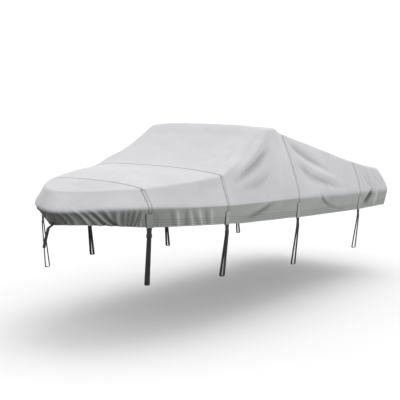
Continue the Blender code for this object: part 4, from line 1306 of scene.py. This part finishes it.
class Shader:
    """A node material under construction."""

    def __init__(self, name, roughness, sheen=0.0):
        self.made = bpy.data.materials.new(name)
        self.made.use_nodes = True
        self.surface = self.made.node_tree.nodes["Principled BSDF"]
        values = {"Roughness": roughness, "Sheen Weight": sheen, **SURFACE}
        for key, value in values.items():
            self.surface.inputs[key].default_value = value

    def node(self, kind, inputs=(), **settings):
        return add_node(self.made.node_tree, kind, inputs, **settings)

    def math(self, operation, first, second=0.0):
        return self.node("ShaderNodeMath", {0: first, 1: second}, operation=operation).outputs[0]

    def product(self, first, *others):
        for other in others:
            first = self.math("MULTIPLY", first, other)
        return first

    def attribute(self, name):
        return self.node("ShaderNodeAttribute", attribute_name=name).outputs["Fac"]

    def object_noise(self, scale, detail=3.0):
        place = self.node("ShaderNodeTexCoord").outputs["Object"]
        sizes = {"Vector": place, "Scale": scale, "Detail": detail}
        return self.node("ShaderNodeTexNoise", sizes).outputs["Fac"]

    def cloudy(self, scale, low, high):
        """Soft uneven patches, as a value between two ends."""
        return self.ramp(self.object_noise(scale), *NOISE_SPAN, low, high)

    def ramp(self, value, low, high, to_low, to_high, smooth_step=True):
        kind = "SMOOTHSTEP" if smooth_step else "LINEAR"
        sizes = {"Value": value, "From Min": low, "From Max": high, "To Min": to_low, "To Max": to_high}
        made = self.node("ShaderNodeMapRange", sizes, interpolation_type=kind)
        return made.outputs["Result"]

    def mix(self, share, first, second, blend="MIX"):
        """A mix of two colours, for which the node's sockets are 6 and 7."""
        sizes = {0: share, 6: first, 7: second}
        return self.node("ShaderNodeMix", sizes, data_type="RGBA", blend_type=blend).outputs[2]

    def shade(self, colour, factor):
        """The colour with its brightness multiplied by a value."""
        grey = self.node("ShaderNodeCombineColor", {0: factor, 1: factor, 2: factor}).outputs[0]
        return self.mix(1.0, colour, grey, "MULTIPLY")

    def threads(self, *pitches):
        """Waves along and across the piece's own UV map, between -1 and 1."""
        uv = self.node("ShaderNodeUVMap", uv_map="cloth").outputs["UV"]
        parts = self.node("ShaderNodeSeparateXYZ", {"Vector": uv}).outputs
        return [
            self.math("SINE", self.math("MULTIPLY", part, math.tau / pitch))
            for part, pitch in zip(parts, pitches)
        ]

    def weave(self, pitch):
        """Over-and-under threads on the piece's own UV map, as a value about 0."""
        return self.product(*self.threads(pitch, pitch))

    def bump(self, height, strength, distance, under=None):
        sizes = {"Height": height, "Strength": strength, "Distance": distance}
        if under is not None:
            sizes["Normal"] = under
        return self.node("ShaderNodeBump", sizes).outputs["Normal"]

    def finish(self, colour, normal=None, roughness=None):
        for key, value in (("Base Color", colour), ("Normal", normal), ("Roughness", roughness)):
            if value is not None:
                self.made.node_tree.links.new(value, self.surface.inputs[key])
        return self.made


def opaque(colour):
    return (*colour, 1.0)


def skirt_share(made):
    """How much of the cloth's colour is the skirt's painted shade: none above the gunwale, all under
    it.
    """
    ahead = made.attribute("ahead")
    start, full = (
        made.ramp(ahead, *BLEND_BOW_RUN, bow, made.ramp(ahead, *BLEND_STERN_RUN, middle, stern))
        for bow, middle, stern in (BLEND_STARTS, BLEND_ENDS)
    )
    return made.ramp(made.attribute("drop"), start, full, 0.0, 1.0)


def cover_tint(made, colours):
    """The cover's colour by place, with painted shade and painted light, and how much of it is the
    skirt's.
    """
    ahead, drop, skirt = made.attribute("ahead"), made.attribute("drop"), skirt_share(made)
    place = made.node("ShaderNodeTexCoord").outputs["Object"]
    across = made.node("ShaderNodeSeparateXYZ", {"Vector": place}).outputs[0]
    # The skirt's colour: painted shade, darker towards the bow.
    bow_share = made.ramp(ahead, *BOW_SKIRT_RUN, 1.0, 0.0)
    low = made.mix(bow_share, opaque(colours.skirt), opaque(colours.bow_skirt))
    # Painted shade under the nose, and painted shadow on the nose's starboard skirt.
    low = made.shade(low, made.ramp(ahead, *NOSE_SKIRT_RUN, NOSE_SKIRT_TONE, 1.0))
    far_skirt = made.ramp(ahead, *FAR_SKIRT_RUN, FAR_SKIRT_TONE, 1.0)
    low = made.shade(low, made.ramp(across, *FAR_SKIRT_SPAN, far_skirt, 1.0))
    # Painted shade on the nose's starboard side and painted light on its port side, from the shoulder
    # down.
    far_side = made.ramp(ahead, *FAR_SIDE_RUN, FAR_SIDE_TONE, 1.0)
    near_side = made.ramp(ahead, *NEAR_SIDE_RUN, NEAR_SIDE_TONE, 1.0)
    nose = made.ramp(across, *NOSE_SPAN, far_side, near_side)
    # Painted shade towards the stern.
    stern = made.ramp(ahead, *STERN_RUN, 1.0, STERN_TONE)
    tone = made.math("MULTIPLY", stern, made.ramp(drop, *SHOULDER_DROPS, 1.0, nose))
    return made.mix(skirt, made.shade(opaque(colours.top), tone), low), skirt


def fold_shade_and_highlight(made, skirt):
    """Painted shade in the folds' troughs and painted highlight on their ridges, more so on the skirt.
    """
    fold, ahead = made.attribute("fold"), made.attribute("ahead")
    dark, light = (made.ramp(ahead, *FOLD_RUN, *tones) for tones in (SKIRT_TROUGHS, SKIRT_RIDGES))
    trough = made.ramp(skirt, 0.0, 1.0, SIDE_TROUGH, dark)
    ridge = made.ramp(skirt, 0.0, 1.0, SIDE_RIDGE, light)
    return (
        made.ramp(fold, TROUGH_DEPTH, 0.0, trough, 1.0, False),
        made.ramp(fold, 0.0, RIDGE_HEIGHT, 1.0, ridge, False),
    )


def coated_cloth(name, colours):
    """Coated polyester: pale above, with painted shade that makes it duller and greener on the skirt
    and darker in the seams' grooves, at the hem's edge, along the hem's rows and in fold troughs, and
    painted highlight on fold ridges.
    """
    made = Shader(name, roughness=0.62, sheen=0.12)
    colour, skirt = cover_tint(made, colours)
    hem = made.attribute("hem_height")
    # Painted shade along the seams' grooves.
    groove = made.ramp(made.attribute("seam_gap"), *SEAM_GROOVE)
    patches = made.product(made.cloudy(*CLOTH_BROAD), made.cloudy(*CLOTH_FINE))
    tone = made.product(patches, groove, made.ramp(hem, *HEM_EDGE), *fold_shade_and_highlight(made, skirt))
    # Painted shade lines along the hem's stitch rows.
    for height in HEM_ROWS:
        away = made.math("ABSOLUTE", made.math("SUBTRACT", hem, height))
        tone = made.math("MULTIPLY", tone, made.ramp(away, *ROW_LINE))
    soft = made.bump(made.object_noise(SOFT_SCALE), strength=0.18, distance=0.004)
    normal = made.bump(made.weave(CLOTH_PITCH), strength=0.25, distance=0.0003, under=soft)
    return made.finish(made.shade(colour, tone), normal, made.cloudy(*CLOTH_ROUGHNESS))


def plain_weave(name, colours, pitch, edge_shade, bright):
    """A tape or tab in the cover's colours, with their painted shade: close weave, its edges turned and
    darkened with painted shade.
    """
    made = Shader(name, roughness=0.75, sheen=0.15)
    edge = made.ramp(made.attribute("edge"), *WOVEN_EDGE, edge_shade, 1.0)
    patches = made.cloudy(WOVEN_PATCHES, *(tone * bright for tone in WOVEN_TONES))
    colour = made.shade(cover_tint(made, colours)[0], made.math("MULTIPLY", edge, patches))
    return made.finish(colour, made.bump(made.weave(pitch), strength=0.4, distance=0.0005))


def woven_tape(name, colours):
    return plain_weave(name, colours, TAPE_PITCH, edge_shade=0.36, bright=0.97)


def woven_tab(name, colours):
    return plain_weave(name, colours, TAB_PITCH, edge_shade=0.80, bright=1.10)


def moulded_acetal(name, colours):
    """Dark acetal with a fine satin grain."""
    made = Shader(name, roughness=0.42)
    worn = made.ramp(made.object_noise(PLASTIC_WEAR_SCALE), *PLASTIC_WEAR)
    noise = made.object_noise(PLASTIC_GRAIN_SCALE, detail=2.0)
    grain = made.bump(noise, strength=0.15, distance=0.0002)
    colour = made.shade(opaque(colours.plastic), worn)
    return made.finish(colour, grain, made.cloudy(*PLASTIC_ROUGHNESS))


def ribbed_webbing(name, colours):
    """Dark polypropylene webbing: fine ribs along it and cross threads, paler on its face."""
    made = Shader(name, roughness=0.78, sheen=0.05)
    ribs, threads = made.threads(*RIB_PITCHES)
    height = made.math("ADD", ribs, made.math("MULTIPLY", threads, RIB_THREADS))
    tone = made.product(made.ramp(height, *RIB_TONES), made.cloudy(*WEBBING_PATCHES))
    colour = made.shade(opaque(colours.webbing), tone)
    return made.finish(colour, made.bump(height, strength=0.55, distance=0.0006))


def sewing_thread(name, tint):
    made = Shader(name, roughness=0.6, sheen=0.1)
    return made.finish(made.shade(opaque(tint), made.cloudy(*THREAD_PATCHES)))


def cover_thread(name, colours):
    return sewing_thread(name, colours.thread)


def tab_thread(name, colours):
    return sewing_thread(name, colours.tab_thread)


def floor_paint(name, colours):
    made = Shader(name, roughness=0.85)
    return made.finish(made.shade(opaque(colours.floor), made.cloudy(*FLOOR_PATCHES)))


FINISHES = {
    made.__name__: made
    for made in (
        coated_cloth, woven_tape, woven_tab, moulded_acetal, ribbed_webbing, cover_thread, tab_thread,
        floor_paint,
    )
}


def finish_of(name):
    """A material by name, made the first time it is asked for."""
    if name in PACKED_FINISHES:
        raise RuntimeError(f"{name} is a finish of the packed solids")
    return bpy.data.materials.get(name) or FINISHES[name](name, bpy.context.scene.cover_colours)


# ---------------------------------------------------------------- settings
def colour_setting(name, about, default):
    return FloatVectorProperty(
        name=name, description=about, default=default, size=3, min=0.0, max=1.0, subtype="COLOR"
    )


class CoverColours(bpy.types.PropertyGroup):
    """Colours of the cover's cloths, plastic and thread; the two skirt colours are painted shade."""

    top: colour_setting("Top cloth", "Deck and sides of the cover", (0.465, 0.465, 0.478))
    # The skirt colours are the pale top cloth darkened, with a greenish cast, as painted shade for the
    # skirt that tucks under; the bow's is darker still.
    skirt: colour_setting("Skirt cloth", "Skirt under the gunwale", (0.250, 0.262, 0.250))
    bow_skirt: colour_setting("Bow skirt", "Gathered skirt round the bow", (0.140, 0.150, 0.138))
    thread: colour_setting("Thread", "Stitches on the pale cloth", (0.40, 0.40, 0.41))
    tab_thread: colour_setting("Tab thread", "Stitches round the tabs", (0.30, 0.32, 0.31))
    plastic: colour_setting("Buckle plastic", "Moulded buckles", (0.014, 0.011, 0.013))
    webbing: colour_setting("Webbing", "Straps and loops", (0.016, 0.012, 0.014))
    floor: colour_setting("Floor", "Studio floor", (0.71, 0.71, 0.71))


class CoverSizes(bpy.types.PropertyGroup):
    """Sizes of the sewing."""

    pitch: FloatProperty(
        name="Stitch pitch", description="Step from stitch to stitch", default=0.009, unit="LENGTH"
    )
    stitch: FloatProperty(
        name="Stitch length", description="Length of one stitch", default=0.0062, unit="LENGTH"
    )
    thread: FloatProperty(
        name="Thread", description="Thickness of the sewing thread", default=0.0013, unit="LENGTH"
    )
    floor: FloatProperty(
        name="Floor size", description="Half side of the studio floor", default=60.0, unit="LENGTH"
    )


def place_piece(made, finish=None, nodes=()):
    """Gives a finished piece its material, its body and the nodes it stands for."""
    if finish:
        made.data.materials.append(finish_of(finish))
    worn = {used.name for used in made.data.materials if used}
    if not worn or worn & PACKED_FINISHES:
        raise RuntimeError(f"{made.name} has no finish of its own")
    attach(made, "root")
    if nodes:
        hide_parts(*nodes)
    return made


# ---------------------------------------------------------------- floor, light and camera
def studio_floor(half):
    build = bmesh.new()
    corners = [(-half, -half), (half, -half), (half, half), (-half, half)]
    build.faces.new([build.verts.new((x, y, ROAD)) for x, y in corners])
    mesh = bpy.data.meshes.new("floor")
    build.to_mesh(mesh)
    build.free()
    floor = new_object("floor", mesh)
    mesh.materials.append(finish_of("floor_paint"))


def studio_light(scene):
    """A white backdrop all round, and one wide sun overhead."""
    scene.world = bpy.data.worlds.new("studio")
    scene.world.use_nodes = True
    backdrop = scene.world.node_tree.nodes["Background"]
    backdrop.inputs["Color"].default_value = (1.0, 1.0, 1.0, 1.0)
    backdrop.inputs["Strength"].default_value = BACKDROP_STRENGTH
    scene.view_settings.view_transform = "Standard"
    light = bpy.data.lights.new("overhead", "SUN")
    light.angle = math.radians(SUN_WIDTH)
    light.energy = SUN_STRENGTH
    holder = new_object("overhead", light)
    holder.rotation_euler = Vector(SUN_FROM).to_track_quat("Z", "Y").to_euler()


def studio_camera():
    turn, pitch, roll = map(math.radians, (CAMERA_AZIMUTH, CAMERA_PITCH, CAMERA_ROLL))
    level = math.cos(pitch)
    look = Vector((-math.sin(turn) * level, math.cos(turn) * level, -math.sin(pitch)))
    right = look.cross(Vector((0, 0, 1))).normalized()
    up = right.cross(look)
    across = math.cos(roll) * right + math.sin(roll) * up
    upright = math.cos(roll) * up - math.sin(roll) * right
    lens = bpy.data.cameras.new("camera")
    lens.lens = CAMERA_LENS
    lens.sensor_width = CAMERA_SENSOR
    lens.clip_end = CAMERA_REACH
    camera = new_object("camera", lens)
    axes = Matrix((across, upright, -look)).transposed().to_4x4()
    camera.matrix_world = Matrix.Translation(CAMERA_PLACE) @ axes
    return camera


# ---------------------------------------------------------------- operators
class BOATCOVER_OT_panels(bpy.types.Operator):
    """Makes the five cloth panels with their folds, gathers and hem"""

    bl_idname = "boatcover.panels"
    bl_label = "Cloth panels"

    def execute(self, context):
        for name in PANELS:
            mesh = panel_mesh(Panel(name))
            made = new_object(name + "_cloth", mesh)
            wall = made.modifiers.new("thickness", "SOLIDIFY")
            wall.thickness = CLOTH
            wall.offset = -1.0
            place_piece(made, "coated_cloth", [name])
        return {"FINISHED"}


class BOATCOVER_OT_stitches(bpy.types.Operator):
    """Sews the rows of stitches along the seams of the deck and above the hem"""

    bl_idname = "boatcover.stitches"
    bl_label = "Stitches"

    def execute(self, context):
        for name in PANELS:
            panel = Panel(name)
            lifted = panel.points + panel.normals * DECK_STITCH_LIFT
            on_deck = np.nonzero(panel.deck_share < DECK_STITCH_END)[0]
            guides = []
            for n, gap in enumerate(panel.seam_gap):
                if any(abs(gap - row) < SLIVER for row in SEAM_ROWS):
                    guides.append((lifted[n, on_deck], panel.normals[n, on_deck]))
            clear = np.nonzero(panel.seam_gap > TAB_HALF + TAB_CLEAR)[0]
            for height in HEM_ROWS:
                for side in (1, -1):
                    spots, lays = panel.row_above_hem(height, side)
                    # The two sides of the bow share the stem's row, which is stitched once.
                    rows = clear[1:] if name == "panel_bow" and side == -1 else clear
                    guides.append(((spots + lays * STITCH_LIFT)[rows], lays[rows]))
            made = stitched(name + "_stitches", guides, "cover_thread")
            place_piece(made)
        return {"FINISHED"}


class BOATCOVER_OT_tapes(bpy.types.Operator):
    """Makes the tapes that cover the seams down the sides"""

    bl_idname = "boatcover.tapes"
    bl_label = "Seam tapes"

    def execute(self, context):
        for word, side in SIDES:
            guides = []
            for number, seam in enumerate(SEAMS, 1):
                name = f"seam_strip_{word}_{number}"
                top, edge, _ = seam_heights(seam)
                foot = edge + GAP
                sizes = (STRIP_HALF, STRIP_THICKNESS, top, foot, TAPE_FACES)
                made = tape_object(name + "_tape", seam, side, *sizes)
                place_piece(made, "woven_tape", [name])
                ends = (top - TAPE_STITCH_END, foot + TAPE_STITCH_END)
                heights = np.linspace(*ends, TAPE_STITCH_STEPS)
                lift = SEAT + STRIP_THICKNESS + STITCH_LIFT
                for across in (-1, 1):
                    x = across * (STRIP_HALF - TAPE_STITCH_IN)
                    guides.append(on_land(seam, side, x, heights, lift))
            made = stitched(f"tape_stitches_{word}", guides, "cover_thread")
            place_piece(made)
        return {"FINISHED"}


class BOATCOVER_OT_tabs(bpy.types.Operator):
    """Makes the doubled tabs over the hem, with their stitched borders"""

    bl_idname = "boatcover.tabs"
    bl_label = "Tabs"

    def execute(self, context):
        for word, side in SIDES:
            guides = []
            for number, seam in enumerate(SEAMS, 1):
                name = f"tab_{word}_{number}"
                _, top, foot = seam_heights(seam)
                sizes = (TAB_HALF, TAB_THICKNESS, top, foot, TAB_FACES, TAB_CORNER)
                made = tape_object(name + "_cloth", seam, side, *sizes)
                place_piece(made, "woven_tab", [name])
                # Dark webbing along the tab's forward edge, which also stands in for the shadow in the
                # gap there.
                made = peek_object(f"tab_webbing_{word}_{number}", seam, side)
                place_piece(made, "ribbed_webbing")
                for inset in TAB_STITCH_IN:
                    x = TAB_HALF - inset
                    high, low = top - inset, foot + inset
                    corners = [(-x, high), (x, high), (x, low), (-x, low), (-x, high)]
                    x, heights = refined(corners, False, TAB_STITCH_STEP).T
                    across = slanted(x, (top - heights) / (top - foot))
                    lift = SEAT + TAB_THICKNESS + STITCH_LIFT
                    guides.append(on_land(seam, side, across, heights, lift))
            made = stitched(f"tab_stitches_{word}", guides, "tab_thread")
            place_piece(made)
        return {"FINISHED"}


class BOATCOVER_OT_buckles(bpy.types.Operator):
    """Makes the moulded side-release buckles"""

    bl_idname = "boatcover.buckles"
    bl_label = "Buckles"

    def execute(self, context):
        pattern = buckle_mesh()
        for word, side in SIDES:
            for number in range(1, len(SEAMS) + 1):
                name = f"buckle_{word}_{number}"
                mesh = pattern.copy()
                mesh.transform(hanger(word, side, number))
                made = new_object(name + "_moulding", mesh)
                place_piece(made, "moulded_acetal", [name])
        bpy.data.meshes.remove(pattern)
        return {"FINISHED"}


class BOATCOVER_OT_webbing(bpy.types.Operator):
    """Makes the webbing loops under the buckles and the bow strap"""

    bl_idname = "boatcover.webbing"
    bl_label = "Webbing"

    def execute(self, context):
        turn = Matrix.Rotation(math.radians(-90), 4, "Y")
        for word, side in SIDES:
            for number, (seam, (foot, lean)) in enumerate(zip(SEAMS, LOOPS), 1):
                name = f"strap_{word}_{number}"
                drop = seam_heights(seam)[2] - foot
                place = hanger(word, side, number) @ turn
                mesh = webbing_mesh(name, loop_path(drop, lean), True, WEBBING_HALF, place)
                made = new_object(name + "_webbing", mesh)
                place_piece(made, "ribbed_webbing", [name])
        sewn = [(nose(height) - SEAT - WEBBING / 2, height) for height in BOW_STRAP_SEWN]
        path = [(y - ORIGIN[1], z - ORIGIN[2]) for y, z in (*sewn, *BOW_STRAP_FREE)]
        place = Matrix(((0, 0, 1, 0), (1, 0, 0, 0), (0, 1, 0, 0), (0, 0, 0, 1)))
        mesh = webbing_mesh("bow_strap", path, False, BOW_STRAP_HALF, place)
        made = new_object("bow_strap_webbing", mesh)
        place_piece(made, "ribbed_webbing", ["bow_strap"])
        return {"FINISHED"}


class BOATCOVER_OT_stage(bpy.types.Operator):
    """Sets up the pale floor, the soft lights and the camera"""

    bl_idname = "boatcover.stage"
    bl_label = "Stage"

    def execute(self, context):
        studio_floor(context.scene.cover_sizes.floor)
        studio_light(context.scene)
        context.scene.camera = studio_camera()
        return {"FINISHED"}


class BOATCOVER_PT_sidebar(bpy.types.Panel):
    """The cover's steps and settings"""

    bl_idname = "BOATCOVER_PT_sidebar"
    bl_label = "Boat Cover"
    bl_space_type = "VIEW_3D"
    bl_region_type = "UI"
    bl_category = "Boat Cover"

    def draw(self, context):
        for group in (context.scene.cover_colours, context.scene.cover_sizes):
            for key in group.__annotations__:
                self.layout.prop(group, key)
        for operator in OPERATORS:
            self.layout.operator(operator.bl_idname)


OPERATORS = (
    BOATCOVER_OT_stage,
    BOATCOVER_OT_panels,
    BOATCOVER_OT_tapes,
    BOATCOVER_OT_tabs,
    BOATCOVER_OT_buckles,
    BOATCOVER_OT_webbing,
    BOATCOVER_OT_stitches,
)
CLASSES = (CoverColours, CoverSizes, *OPERATORS, BOATCOVER_PT_sidebar)


def register():
    for made in CLASSES:
        bpy.utils.register_class(made)
    bpy.types.Scene.cover_colours = PointerProperty(type=CoverColours)
    bpy.types.Scene.cover_sizes = PointerProperty(type=CoverSizes)


def unregister():
    del bpy.types.Scene.cover_sizes
    del bpy.types.Scene.cover_colours
    for made in reversed(CLASSES):
        bpy.utils.unregister_class(made)


def main():
    register()
    bpy.ops.boatcover.stage()
    bpy.ops.boatcover.panels()
    bpy.ops.boatcover.tapes()
    bpy.ops.boatcover.tabs()
    bpy.ops.boatcover.buckles()
    bpy.ops.boatcover.webbing()
    bpy.ops.boatcover.stitches()


if __name__ == "__main__":
    main()
